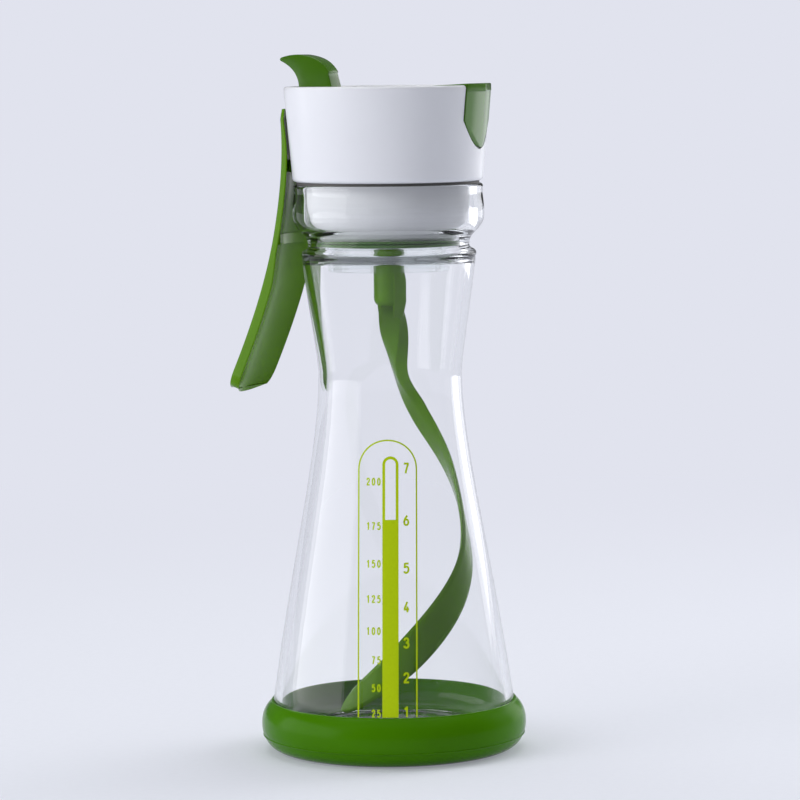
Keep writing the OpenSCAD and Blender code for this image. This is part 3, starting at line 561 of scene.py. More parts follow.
def settle(piece: bpy.types.Object) -> bpy.types.Object:
    """Turns a piece's modifiers into plain mesh.

    Args:
        piece: The object to settle.

    Returns:
        The same object, with no modifier left.
    """
    bpy.context.view_layer.update()
    graph = bpy.context.evaluated_depsgraph_get()
    old = piece.data
    piece.data = bpy.data.meshes.new_from_object(piece.evaluated_get(graph))
    piece.modifiers.clear()
    piece.data.name = piece.name
    if old.users == 0:
        bpy.data.meshes.remove(old)
    return piece


class Cut(Enum):
    """Ways of combining two solids."""

    TAKE = "DIFFERENCE"
    KEEP = "INTERSECT"
    JOIN = "UNION"


def combine(piece: bpy.types.Object, tools: Sequence[bpy.types.Object],
            cut: Cut) -> bpy.types.Object:
    """Cuts or joins solids and removes the tools.

    Args:
        piece: The solid that is kept.
        tools: The solids that shape it.
        cut: How they combine.

    Returns:
        The shaped piece.
    """
    for tool in tools:
        change = piece.modifiers.new(tool.name, "BOOLEAN")
        change.operation = cut.value
        change.solver = "EXACT"
        change.object = tool
    settle(piece)
    for tool in tools:
        bpy.data.objects.remove(tool, do_unlink=True)
    return piece


def soften(piece: bpy.types.Object, width: float, segments: int = 3,
           degrees: float = 35.0) -> bpy.types.Object:
    """Rounds a piece's sharp edges.

    Args:
        piece: The object to round.
        width: The rounding in millimetres.
        segments: Facets across it.
        degrees: Edges sharper than this are rounded.

    Returns:
        The piece.
    """
    change = piece.modifiers.new("rounding", "BEVEL")
    change.width = width * MM
    change.segments = segments
    change.limit_method = "ANGLE"
    change.angle_limit = math.radians(degrees)
    change.use_clamp_overlap = True
    return settle(piece)


def finish_piece(piece: bpy.types.Object, finish: Finishes, body: Body,
                 stands_for: Sequence[str] = (), smooth: float = 32.0) -> bpy.types.Object:
    """Dresses a piece, sets it on its body and reports it.

    Args:
        piece: The finished mesh object.
        finish: The surface that it wears.
        body: The body that it rides on.
        stands_for: CAD nodes that it replaces.
        smooth: Edges flatter than this, in degrees, are shaded smooth.

    Returns:
        The piece.
    """
    mesh = piece.data
    mesh.materials.clear()
    mesh.materials.append(finish.value.material())
    mesh.shade_smooth()
    mesh.set_sharp_from_angle(angle=math.radians(smooth))
    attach(piece, body.value)
    if stands_for:
        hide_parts(*stands_for)
    log.info("%s: %d faces, on %s", piece.name, len(mesh.polygons), body.value)
    return piece


def dress_node(node: str, finish: Finishes) -> None:
    """Gives a CAD node's object the material of a finish.

    Args:
        node: The node's name.
        finish: The surface that it wears.
    """
    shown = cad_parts[node]
    if not shown.material_slots:
        shown.data.materials.append(None)
    for place in shown.material_slots:
        place.material = finish.value.material()
    log.info("%s: CAD node in %s", node, finish.value.name)


class Geometry:
    """One geometry-nodes tree with named inputs, run on an empty mesh and settled."""

    KINDS = {float: "NodeSocketFloat", int: "NodeSocketInt", tuple: "NodeSocketVector",
             bpy.types.Object: "NodeSocketObject"}

    def __init__(self, name: str, inputs: dict[str, object], finish: Finishes) -> None:
        """Makes the tree and its inputs.

        Args:
            name: The tree's name.
            inputs: Each input's name and value.
            finish: The finish of what the tree makes.
        """
        self.tree = bpy.data.node_groups.new(name, "GeometryNodeTree")
        self.values = inputs
        self.finish_of = finish
        self.tree.interface.new_socket("Geometry", in_out="OUTPUT",
                                       socket_type="NodeSocketGeometry")
        for title, value in inputs.items():
            self.tree.interface.new_socket(title, in_out="INPUT",
                                           socket_type=self.KINDS[type(value)])
        self.book = NodeBook(self.tree)
        self.entry = self.tree.nodes.new("NodeGroupInput")

    def input(self, title: str) -> Wire:
        """One of the tree's inputs."""
        return Wire(self.book, self.entry.outputs[title])

    def finish(self, geometry: Wire, name: str) -> bpy.types.Object:
        """Ends the tree, sets its inputs and turns the result into a plain mesh.

        Args:
            geometry: What the tree has made.
            name: The piece's name.

        Returns:
            The piece.
        """
        real = self.book.add("GeometryNodeRealizeInstances", None, {"Geometry": geometry})
        dressed = self.book.add("GeometryNodeSetMaterial", None,
                                {"Geometry": real, "Material": self.finish_of.value.material()})
        self.book.add("NodeGroupOutput", None, {"Geometry": dressed})
        made = add_object(name, bpy.data.meshes.new(name))
        change = made.modifiers.new(name, "NODES")
        change.node_group = self.tree
        for item in self.tree.interface.items_tree:
            if item.in_out == "INPUT":
                change[item.identifier] = self.values[item.name]
        return settle(made)


# Sub-assemblies


@dataclass
class Bottle:
    """Clear waisted vessel with a collar, a neck groove, a bead and a thick floor."""

    lip_z: float = 171.0
    body_r: float = 36.4
    waist_r: float = 21.6
    waist_z: float = 114.2
    wall: float = 2.4
    boot_h: float = 15.3
    seat_z: float = 2.6
    floor_z: float = 7.2
    bead_r: float = 26.1
    groove_r: float = 23.9
    collar_r: float = 28.8
    mouth_r: float = 25.0
    throat_r: float = 21.6
    corner: float = 5.5
    fine: int = 3
    floor_rings: tuple[float, ...] = (25.5, 22.5, 15.0)

    def side(self, low_r: float, waist_r: float) -> list[tuple[float, ...]]:
        """The long side from the boot's lip up to the waist, as radius and height."""
        return bezier((low_r, self.boot_h), (low_r - 6.345, self.boot_h + 45),
                      (waist_r, self.waist_z - 22.6), (waist_r, self.waist_z), 22 * self.fine)

    def throat(self, waist_r: float, top_r: float, top_z: float) -> list[tuple[float, ...]]:
        """The side from the waist up to the bead, as radius and height."""
        rise = top_z - self.waist_z
        return bezier((waist_r, self.waist_z), (waist_r, self.waist_z + 0.12 * rise),
                      (top_r - 0.5, self.waist_z + 0.8 * rise), (top_r, top_z), 10 * self.fine)

    def outer(self) -> list[tuple[float, ...]]:
        """The outside from the boot's lip to the mouth, as radius and height."""
        bead, groove, collar = self.lip_z - 21.7, self.lip_z - 17.7, self.lip_z - 8.8
        b, g, c, top, n = self.bead_r, self.groove_r, self.collar_r, self.lip_z, self.fine
        return [*self.side(self.body_r, self.waist_r),
                *self.throat(self.waist_r, b, bead)[1:],
                *bezier((b, bead), (b + 0.35, bead + 0.8), (b + 0.25, bead + 1.6),
                        (b - 0.7, bead + 2.1), 5 * n)[1:],
                *bezier((b - 0.7, bead + 2.1), (g, bead + 2.6), (g - 0.15, groove),
                        (g + 1.3, groove + 2.4), 7 * n)[1:],
                *bezier((g + 1.3, groove + 2.4), (c - 1.2, groove + 4.6), (c, collar - 3),
                        (c, collar), 8 * n)[1:],
                *bezier((c, collar), (c, collar + 4), (c - 0.7, top - 3.4),
                        (c - 0.35, top - 1.2), 6 * n)[1:],
                *bezier((c - 0.35, top - 1.2), (c - 0.25, top - 0.5), (c - 0.6, top),
                        (c - 1.2, top), 4 * n)[1:]]

    def inner(self) -> list[tuple[float, ...]]:
        """The inside from the boot's lip to the mouth, as radius and height."""
        bulge, low, high = self.lip_z - 24, self.lip_z - 20, self.lip_z - 15
        waist_r, b, n = self.waist_r - self.wall, self.bead_r - self.wall, self.fine
        return [*self.side(self.body_r - self.wall, waist_r),
                *self.throat(waist_r, b - 0.4, bulge)[1:],
                *bezier((b - 0.4, bulge), (b - 0.2, bulge + 1.6), (self.throat_r, low - 1.4),
                        (self.throat_r, low), 6 * n)[1:],
                *bezier((self.throat_r, high), (self.throat_r, high + 2.2),
                        (self.mouth_r, high + 2), (self.mouth_r, high + 5), 8 * n),
                (self.mouth_r, self.lip_z - 0.7), (self.mouth_r + 0.6, self.lip_z)]

    def radius_at(self, height: float) -> float:
        """Outer radius at a height."""
        return lookup(height, [(z, r) for r, z in self.outer()])

    def inside_at(self, height: float) -> float:
        """Inner radius at a height."""
        return lookup(height, [(z, r) for r, z in self.inner()])

    def build(self) -> None:
        """Makes the vessel."""
        r, seat, floor, corner, wall = (self.body_r, self.seat_z, self.floor_z, self.corner,
                                        self.wall)
        punt = r - 12
        outline = [(0.0, seat + 0.9), (punt, seat + 0.9), (punt + 1.2, seat),
                   *bezier((r - corner, seat), (r - 2, seat), (r, seat + 2.2),
                           (r, seat + corner), 14),
                   *self.outer(), *reversed(self.inner()),
                   *bezier((r - wall, floor + corner), (r - wall, floor + 2),
                           (r - wall - 2, floor), (r - wall - corner, floor), 14)]
        for ring in self.floor_rings:
            outline += [(ring + 0.7, floor), (ring + 0.25, floor + 0.22), (ring - 0.25, floor + 0.22),
                        (ring - 0.7, floor)]
        outline.append((0.0, floor))
        finish_piece(Form().revolve(outline).piece("bottle_vessel"), Finishes.CLEAR,
                     Body.BOTTLE, ["bottle"])


@dataclass
class Boot:
    """Green rubber foot with a raised parting line round its lower edge."""

    bottle: Bottle
    bulge: float = 3.6
    inset: float = 7.5
    gap: float = 0.06
    lip: float = 0.7
    part_z: float = 4.9
    line: float = 0.28

    def build(self) -> None:
        """Makes the boot."""
        seat, corner, top = self.bottle.seat_z, self.bottle.corner, self.bottle.boot_h
        w, r = self.bottle.body_r + self.bulge, self.bottle.body_r + self.gap
        foot, wide_z, edge = w - self.inset, top * 0.55, r + self.lip
        part, line = self.part_z, self.line
        outline = [(0.0, 0.0), (foot, 0.0),
                   *bezier((foot, 0), (foot + 4, 0.4), (w - 1.6, 2.2),
                           (w - 0.75, part - 0.35), 16)[1:],
                   (w - 0.62, part - 0.2), (w - 0.62 + line, part - 0.06),
                   (w - 0.6 + line, part + 0.1), (w - 0.48, part + 0.24),
                   *bezier((w - 0.44, part + 0.4), (w - 0.2, part + 1), (w, wide_z - 1.5),
                           (w, wide_z), 8),
                   *bezier((w, wide_z), (w, wide_z + 3.6), (edge + 1.2, top - 1.4),
                           (edge, top - 0.3), 20)[1:],
                   *bezier((edge, top - 0.3), (edge - 0.05, top - 0.1),
                           (edge - 0.1, top), (edge - 0.25, top), 4)[1:],
                   (r + 0.1, top), (r, top - 0.1),
                   *bezier((r, seat + corner), (r, seat + 2.2), (r - 2, seat),
                           (r - corner, seat), 12),
                   (0.0, seat)]
        finish_piece(Form().revolve(outline, 256).piece("foot_boot"), Finishes.GREEN_RUBBER,
                     Body.BOTTLE, ["base_boot"])


def oval(x: float, y: float, across: float, up: float, steps: int = 22) -> list[Point2]:
    """Closed path round an oval."""
    turns = [math.tau * k / steps - math.pi / 2 for k in range(steps + 1)]
    return [(x + across * math.cos(t), y + up * math.sin(t)) for t in turns]


# Pen strokes of the printed figures, each in a box one wide and one high
FIGURES: dict[str, list[list[Point2]]] = {
    "0": [oval(0.5, 0.5, 0.5, 0.52)],
    "1": [[(0.62, 1.09), (0.62, -0.09)], [(0.64, 0.98), (0.1, 0.76)]],
    "2": [bezier((0.02, 0.72), (0.04, 1.12), (0.98, 1.12), (0.96, 0.72), 10)
          + bezier((0.96, 0.72), (0.92, 0.5), (0.3, 0.32), (0.02, 0.02), 8)[1:],
          [(-0.1, 0.0), (1.12, 0.0)]],
    "3": [bezier((0.04, 0.78), (0.1, 1.1), (0.94, 1.1), (0.92, 0.75), 10)
          + bezier((0.92, 0.75), (0.9, 0.58), (0.6, 0.54), (0.36, 0.54), 5)[1:],
          bezier((0.36, 0.54), (0.7, 0.54), (1.0, 0.5), (1.0, 0.27), 5)
          + bezier((1.0, 0.27), (1.0, -0.1), (0.06, -0.1), (0.0, 0.2), 10)[1:]],
    "4": [[(0.72, 1.08), (0.04, 0.28)], [(-0.1, 0.24), (1.14, 0.24)], [(0.74, 0.56), (0.74, -0.09)]],
    "5": [[(1.02, 1.0), (0.14, 1.0)], [(0.18, 1.06), (0.1, 0.5)],
          bezier((0.1, 0.54), (0.4, 0.74), (1.02, 0.72), (1.0, 0.32), 10)
          + bezier((1.0, 0.32), (0.98, -0.12), (0.08, -0.1), (-0.02, 0.16), 8)[1:]],
    "6": [bezier((0.72, 1.06), (0.36, 0.82), (0.04, 0.6), (0.02, 0.32), 8),
          oval(0.5, 0.31, 0.48, 0.31)],
    "7": [[(-0.06, 1.0), (1.06, 1.0)], bezier((0.98, 1.0), (0.7, 0.62), (0.46, 0.3), (0.36, -0.09), 6)],
}


@dataclass
class Scale:
    """Measuring scale printed on the bottle: an arch, a hollow and filled bar, and numbers.

    Places are given in millimetres along the bottle's face, from the scale's middle line, and in
    height. The print leans a little on the real bottle.
    """

    bottle: Bottle
    facing: float = -69.0
    middle: float = -0.98
    lean: float = 0.0107
    low_z: float = 15.4
    arch_half_w: float = 8.68
    arch_top_z: float = 96.0
    line_w: float = 0.46
    bar_left: float = -1.5
    bar_half_w: float = 2.39
    bar_top_z: float = 91.3
    bar_line: float = 0.84
    fill_top_z: float = 72.8
    proud: float = 0.03
    film: float = 0.05
    left_edge: float = -1.96
    left_size: float = 2.3
    left_narrow: float = 0.31
    right_edge: float = 4.65
    right_size: float = 3.2
    right_narrow: float = 0.4
    bold: float = 0.18
    pitch: float = 0.7
    millilitres: tuple[tuple[str, float], ...] = (
        ("200", 83.9), ("175", 71.0), ("150", 60.0), ("125", 49.8), ("100", 40.5), ("75", 32.1),
        ("50", 24.0), ("25", 16.6))
    spoons: tuple[tuple[str, float], ...] = (
        ("7", 87.8), ("6", 72.5), ("5", 58.7), ("4", 47.4), ("3", 37.0), ("2", 26.9), ("1", 17.05))

    def wrap(self, across: float, height: float, out: float = 0.0) -> tuple[float, float, float]:
        """A place on the bottle's outside.

        Args:
            across: Distance round the bottle from the scale's middle line.
            height: Height above the foot plane.
            out: Distance proud of the surface.

        Returns:
            The point in millimetres.
        """
        radius = self.bottle.radius_at(height)
        offset = self.middle + self.lean * (height - self.arch_top_z) + across
        turn = math.radians(self.facing) + offset / radius
        radius += self.proud + out
        return radius * math.cos(turn), radius * math.sin(turn), height

    def film_of(self, form: Form, rows: Sequence[Sequence[Point2]]) -> None:
        """Adds a thin film over rows of flat points.

        Args:
            form: The form that takes the film.
            rows: Rows of equal length, each a list of across and height.
        """
        across = len(rows[0])
        flat = [p for row in rows for p in row]
        size = len(flat)
        points = [self.wrap(a, z) for a, z in flat] + [self.wrap(a, z, self.film) for a, z in flat]
        cells = [[i * across + k, i * across + k + 1, (i + 1) * across + k + 1,
                  (i + 1) * across + k]
                 for i in range(len(rows) - 1) for k in range(across - 1)]
        rim = ([(k, k + 1) for k in range(across - 1)]
               + [(i * across + across - 1, (i + 1) * across + across - 1)
                  for i in range(len(rows) - 1)]
               + [(size - 1 - k, size - 2 - k) for k in range(across - 1)]
               + [((i + 1) * across, i * across) for i in reversed(range(len(rows) - 1))])
        faces = cells + [[c + size for c in cell] for cell in cells]
        faces += [[a, b, b + size, a + size] for a, b in rim]
        form.shell(points, faces)

    def line_along(self, form: Form, path: Sequence[Point2], width: float) -> None:
        """Adds a printed line of even width.

        Args:
            form: The form that takes the line.
            path: Its middle line, as across and height.
            width: Its width.
        """
        rows = []
        for i, (a, z) in enumerate(path):
            a0, z0 = path[max(i - 1, 0)]
            a1, z1 = path[min(i + 1, len(path) - 1)]
            span = math.hypot(a1 - a0, z1 - z0)
            side_a, side_z = (z1 - z0) / span * width / 2, (a0 - a1) / span * width / 2
            rows.append([(a - side_a, z - side_z), (a + side_a, z + side_z)])
        self.film_of(form, rows)

    def arch(self, middle: float, half_w: float, low: float, top: float) -> list[Point2]:
        """Path up one side, round the top and down the other.

        Args:
            middle: Its middle, across.
            half_w: Half its width.
            low, top: The heights of its feet and its crown.

        Returns:
            Points of across and height.
        """
        sides = [low + (top - half_w - low) * i / 48 for i in range(49)]
        left = [(middle - half_w, z) for z in sides]
        over = [(middle - half_w * math.cos(math.pi * k / 32),
                 top - half_w + half_w * math.sin(math.pi * k / 32)) for k in range(1, 32)]
        return left + over + [(middle + half_w, z) for z in reversed(sides)]

    def number(self, form: Form, words: str, size: float, narrow: float, left: float,
               middle_z: float) -> None:
        """Adds a printed number, figure by figure.

        Args:
            form: The form that takes the number.
            words: The number.
            size: The height of its figures.
            narrow: A figure's pen width across, as a share of its height.
            left: Where its left edge is, across the scale.
            middle_z: The height of its middle.
        """
        pen, wide = size * self.bold, size * narrow
        tall = size - pen
        for k, figure in enumerate(words):
            x, z = left + pen / 2 + k * self.pitch * size, middle_z - tall / 2
            for stroke in FIGURES[figure]:
                self.line_along(form, [(x + a * wide, z + b * tall) for a, b in stroke], pen)

    def build(self) -> None:
        """Prints the arch, the bar and the numbers."""
        lines = Form()
        self.line_along(lines, self.arch(0, self.arch_half_w, self.low_z, self.arch_top_z),
                        self.line_w)
        left, right = self.bar_left, self.bar_left + 2 * self.bar_half_w
        middle = (left + right) / 2
        hollow = self.arch(middle, self.bar_half_w - self.bar_line / 2, self.fill_top_z,
                           self.bar_top_z - self.bar_line / 2)
        self.line_along(lines, hollow, self.bar_line)
        steps = 60
        self.film_of(lines, [[(left + (right - left) * k / 8,
                               self.low_z + (self.fill_top_z - self.low_z) * i / steps)
                              for k in range(9)] for i in range(steps + 1)])
        finish_piece(lines.piece("scale_bars"), Finishes.INK, Body.BOTTLE)
        numbers = Form()
        for words, height in self.millilitres:
            left = (self.left_edge - self.left_size * (self.left_narrow + self.bold)
                    - (len(words) - 1) * self.pitch * self.left_size)
            self.number(numbers, words, self.left_size, self.left_narrow, left, height)
        for words, height in self.spoons:
            self.number(numbers, words, self.right_size, self.right_narrow, self.right_edge,
                        height)
        finish_piece(numbers.piece("scale_numbers"), Finishes.INK, Body.BOTTLE)


@dataclass
class Cap:
    """White cap wall with a rim, a front recess for the tongue and a slot for the trigger."""

    low_z: float = 171.8
    height: float = 28.5
    low_r: float = 28.5
    top_r: float = 31.0
    wall: float = 2.2
    deck_low_z: float = 194.0
    ledge: float = 1.4
    recess: float = 1.3
    flap_half_w: float = 10.4
    flap_z: float = 198.3
    gap: float = 0.3
    tongue_h: float = 18.4
    straight: float = 0.56
    slot_half_w: float = 5.4
    slot_top_z: float = 179.2
    well_half_w: float = 5.8
    well_low_z: float = 191.6
    past: float = 1.0
    facets: int = 288

    @property
    def top_z(self) -> float:
        """Height of the rim."""
        return self.low_z + self.height

    @property
    def bend_z(self) -> float:
        """Height at which the tongue's straight sides end."""
        return self.top_z - self.tongue_h * self.straight

    def radius(self, z: float) -> float:
        """Outer radius at a height."""
        return self.low_r + (self.top_r - self.low_r) * (z - self.low_z) / self.height

    def tongue(self, half_w: float, tip_z: float, top_z: float) -> list[Point2]:
        """Outline of the tongue: straight sides, then a parabola to its tip.

        Args:
            half_w: Half its width.
            tip_z: Height of its tip.
            top_z: Height of its upper end.

        Returns:
            Points of Y and Z.
        """
        curve = [(half_w * (k / 20 - 1), tip_z + (self.bend_z - tip_z) * (k / 20 - 1)**2)
                 for k in range(41)]
        return [(-half_w, top_z), *curve, (half_w, top_z)]

    def core(self, name: str, depth: float, tip_z: float) -> bpy.types.Object:
        """Solid of the cap's outside from below the tongue's tip to over the rim.

        Args:
            name: The solid's name.
            depth: How far it lies inside the cap's face.
            tip_z: Height of the tongue's tip.

        Returns:
            The solid.
        """
        low, high = tip_z - self.past, self.top_z + 2 * self.past
        outline = [(0.0, low), (self.radius(low) - depth, low),
                   (self.radius(high) - depth, high), (0.0, high)]
        return Form().revolve(outline, self.facets).piece(name)

    def opening(self, name: str, half_w: float, low: float, high: float, near: float,
                far: float) -> bpy.types.Object:
        """Block that cuts a straight opening along X.

        Args:
            name: The block's name.
            half_w: Half its width.
            low, high: Its two heights.
            near, far: Its two ends along X.

        Returns:
            The block.
        """
        return Form().prism(box_outline(-half_w, half_w, low, high), near, far,
                            along_x).piece(name)

    def build(self) -> None:
        """Makes the cap's wall and cuts its openings."""
        low, top, wall = self.low_z, self.top_z, self.wall
        r = self.radius
        ledge_z = self.deck_low_z - self.ledge
        outline = [*bezier((self.low_r - 1.6, low), (self.low_r - 0.4, low),
                           (r(low + 0.5), low + 0.5), (r(low + 1.3), low + 1.3), 10),
                   *bezier((r(top - 1.1), top - 1.1), (self.top_r, top - 0.3),
                           (self.top_r - 0.4, top), (self.top_r - 1, top), 10),
                   (r(top) - wall + 0.3, top), (r(top) - wall, top - 0.3),
                   (r(self.deck_low_z) - wall, self.deck_low_z),
                   (r(self.deck_low_z) - wall - self.ledge, self.deck_low_z),
                   (r(ledge_z) - wall, ledge_z - self.ledge), (self.low_r - wall, low)]
        cap = Form().revolve(outline, self.facets).piece("cap_wall")
        half_w, past, back = self.flap_half_w + self.gap, self.past, -self.top_r
        front = self.low_r * 0.7
        tip_z = top - self.tongue_h - self.gap - 0.2
        recess = Form().prism(self.tongue(half_w, tip_z, top + past), front,
                              self.top_r + 2 * past, along_x).piece("recess")
        combine(recess, [self.core("core", self.recess, tip_z)], Cut.TAKE)
        cuts = [recess,
                self.opening("notch", half_w, self.flap_z - self.gap, top + past, front,
                             self.top_r * 2),
                self.opening("slot", self.slot_half_w, low - past, self.slot_top_z, back - past,
                             back - past + wall * 3),
                self.opening("passage", self.well_half_w, self.well_low_z,
                             self.deck_low_z + self.gap, back + wall, back + wall + 6)]
        combine(cap, cuts, Cut.TAKE)
        finish_piece(cap, Finishes.WHITE, Body.HEAD, ["cap_shell"])


@dataclass
class Head:
    """What the cap carries inside: bowl, rings, clear guide, gear train and screws."""

    nose_r: float = 18.5
    nose_low_z: float = 152.4
    throat_r: float = 21.54
    gasket_h: float = 2.8
    guide_t: float = 1.6
    skirt_r: float = 18.2
    skirt_h: float = 5.6
    skirt_wall: float = 1.5
    shaft_r: float = 2.05
    duct_out: float = 12.0
    duct_r: float = 3.5
    screw_ring_r: float = 23.25
    screw_low_z: float = 167.7
    screw_top_z: float = 175.4
    screw_r: float = 0.8
    head_r: float = 1.5
    head_h: float = 1.3
    slot_half: tuple[float, float] = (0.9, 0.16)
    pivot_out: float = 23.0
    pivot_z: float = 176.4
    coil_r: float = 1.65
    wire_r: float = 0.3
    coil_low_y: float = 2.55
    coil_len: float = 3.1
    coil_turns: float = 3.0
    nodes: tuple[tuple[str, Finishes], ...] = (
        ("cap_deck", Finishes.WHITE_INNER), ("plug_bowl", Finishes.WHITE_INNER),
        # The lip gasket's dark grey is partly painted shade for the gap under the cap
        ("lip_gasket", Finishes.RIM_SEAL), ("shaft_bush", Finishes.GEAR),
        ("shaft_seal", Finishes.SEAL), ("gear_plate", Finishes.WHITE_INNER),
        ("gear_axle", Finishes.STEEL), ("pour_duct", Finishes.WHITE_INNER),
        ("trigger_pin", Finishes.STEEL), ("lever_pin", Finishes.STEEL))

    def gasket(self) -> None:
        """Makes the green ring in the throat, with its two sealing lips."""
        z, r = self.nose_low_z + 0.05, self.throat_r
        top = z + self.gasket_h
        inner = self.nose_r + 0.01
        outline = [(inner, z), (r - 1, z), *bezier((r - 1, z), (r - 0.3, z + 0.1), (r, z + 0.5),
                                                  (r, z + 0.8), 5)[1:], (r, z + 1.2),
                   (r - 0.5, z + 1.35), (r - 0.8, z + 1.5), (r - 0.5, z + 1.65), (r, z + 1.8),
                   (r, z + 2.0), *bezier((r, z + 2.0), (r - 0.2, z + 2.5), (r - 0.9, top),
                                         (r - 1.4, top), 5)[1:], (inner, top)]
        finish_piece(Form().revolve(outline).piece("throat_ring"), Finishes.SEAL, Body.HEAD,
                     ["neck_gasket"])

    def guide(self) -> None:
        """Makes the clear flange and skirt under the plug, with its two bores."""
        z0 = self.nose_low_z - self.guide_t
        low = z0 - self.skirt_h
        wide, skirt, inside = self.nose_r + 1.9, self.skirt_r, self.skirt_r - self.skirt_wall
        outline = [(0.0, z0), (inside - 0.4, z0), (inside, z0 - 0.4), (inside, low + 0.2),
                   (inside + 0.2, low), (skirt - 0.3, low), (skirt, low + 0.3), (skirt, z0 - 0.2),
                   (skirt + 0.2, z0), (wide - 0.3, z0), (wide, z0 + 0.3),
                   (wide, z0 + self.guide_t), (0.0, z0 + self.guide_t)]
        guide = Form().revolve(outline).piece("clear_guide")
        bores = [Form().prism(disc(x, 0, r), z0 - 1, z0 + self.guide_t + 1, along_z).piece(n)
                 for n, x, r in (("bore", 0.0, self.shaft_r), ("port", self.duct_out, self.duct_r))]
        finish_piece(combine(guide, bores, Cut.TAKE), Finishes.CLEAR_GUIDE, Body.HEAD,
                     ["shaft_guide"])

    def screws(self) -> None:
        """Repeats one cross-slotted screw round the bowl's rim with geometry nodes."""
        top = self.screw_top_z
        outline = [(0.0, self.screw_low_z), (self.screw_r, self.screw_low_z), (self.screw_r, top),
                   (self.head_r, top), *bezier((self.head_r, top), (self.head_r, top + 0.7),
                                               (1.1, top + self.head_h), (0.0, top + self.head_h),
                                               6)[1:]]
        screw = Form().revolve(outline, 32).piece("one_screw")
        slots = [Form().prism(box_outline(-a, a, -b, b), top + 0.6, top + 2, along_z).piece("slot")
                 for a, b in (self.slot_half, self.slot_half[::-1])]
        combine(screw, slots, Cut.TAKE)
        ring = Geometry("screw_ring", {"Screw": screw, "Ring radius": self.screw_ring_r * MM,
                                       "Count": 4, "First angle": math.radians(40),
                                       "Pair turn": math.radians(100)},
                        Finishes.STEEL)
        book = ring.book
        index = book.add("GeometryNodeInputIndex")
        half = index * 0.5
        whole = book.add("ShaderNodeMath", {"operation": "FLOOR"}, {0: half})
        odd = index - whole * 2.0
        angle = ring.input("First angle") + whole * math.pi + odd * ring.input("Pair turn")
        sine = book.add("ShaderNodeMath", {"operation": "SINE"}, {0: angle})
        cosine = book.add("ShaderNodeMath", {"operation": "COSINE"}, {0: angle})
        radius = ring.input("Ring radius")
        place = book.add("ShaderNodeCombineXYZ", None, {0: cosine * radius, 1: sine * radius})
        points = book.add("GeometryNodePoints", None,
                          {"Count": ring.input("Count"), "Position": place})
        shape = book.add("GeometryNodeObjectInfo", {"transform_space": "RELATIVE"},
                         {"Object": ring.input("Screw")}, out="Geometry")
        turn = book.add("ShaderNodeCombineXYZ", None, {2: angle})
        many = book.add("GeometryNodeInstanceOnPoints", None,
                        {"Points": points, "Instance": shape, "Rotation": turn})
        made = ring.finish(many, "rim_screws")
        bpy.data.objects.remove(screw, do_unlink=True)
        finish_piece(made, Finishes.STEEL, Body.HEAD, ["plate_screws"])

    def coil(self) -> None:
        """Winds the return spring round the trigger's pin with geometry nodes."""
        tree = Geometry("spring_coil", {"Coil radius": self.coil_r * MM,
                                        "Wire radius": self.wire_r * MM,
                                        "Length": self.coil_len * MM,
                                        "Turns": self.coil_turns,
                                        "First end": (-self.pivot_out * MM,
                                                      self.coil_low_y * MM,
                                                      self.pivot_z * MM)}, Finishes.STEEL)
        book = tree.book
        radius = tree.input("Coil radius")
        line = book.add("GeometryNodeCurveSpiral", None, {
            "Resolution": 40, "Rotations": tree.input("Turns"), "Start Radius": radius,
            "End Radius": radius, "Height": tree.input("Length")})
        wire = book.add("GeometryNodeCurvePrimitiveCircle", None,
                        {"Resolution": 12, "Radius": tree.input("Wire radius")})
        tube = book.add("GeometryNodeCurveToMesh", None,
                        {"Curve": line, "Profile Curve": wire, "Fill Caps": True})
        placed = book.add("GeometryNodeTransform", None, {
            "Geometry": tube, "Translation": tree.input("First end"),
            "Rotation": (-math.pi / 2, 0, 0)})
        finish_piece(tree.finish(placed, "return_coil"), Finishes.STEEL, Body.HEAD,
                     ["return_spring"])

    def build(self) -> None:
        """Makes the inside parts and dresses the CAD nodes that stay."""
        self.gasket()
        self.guide()
        self.screws()
        self.coil()
        for node, finish in self.nodes:
            dress_node(node, finish)


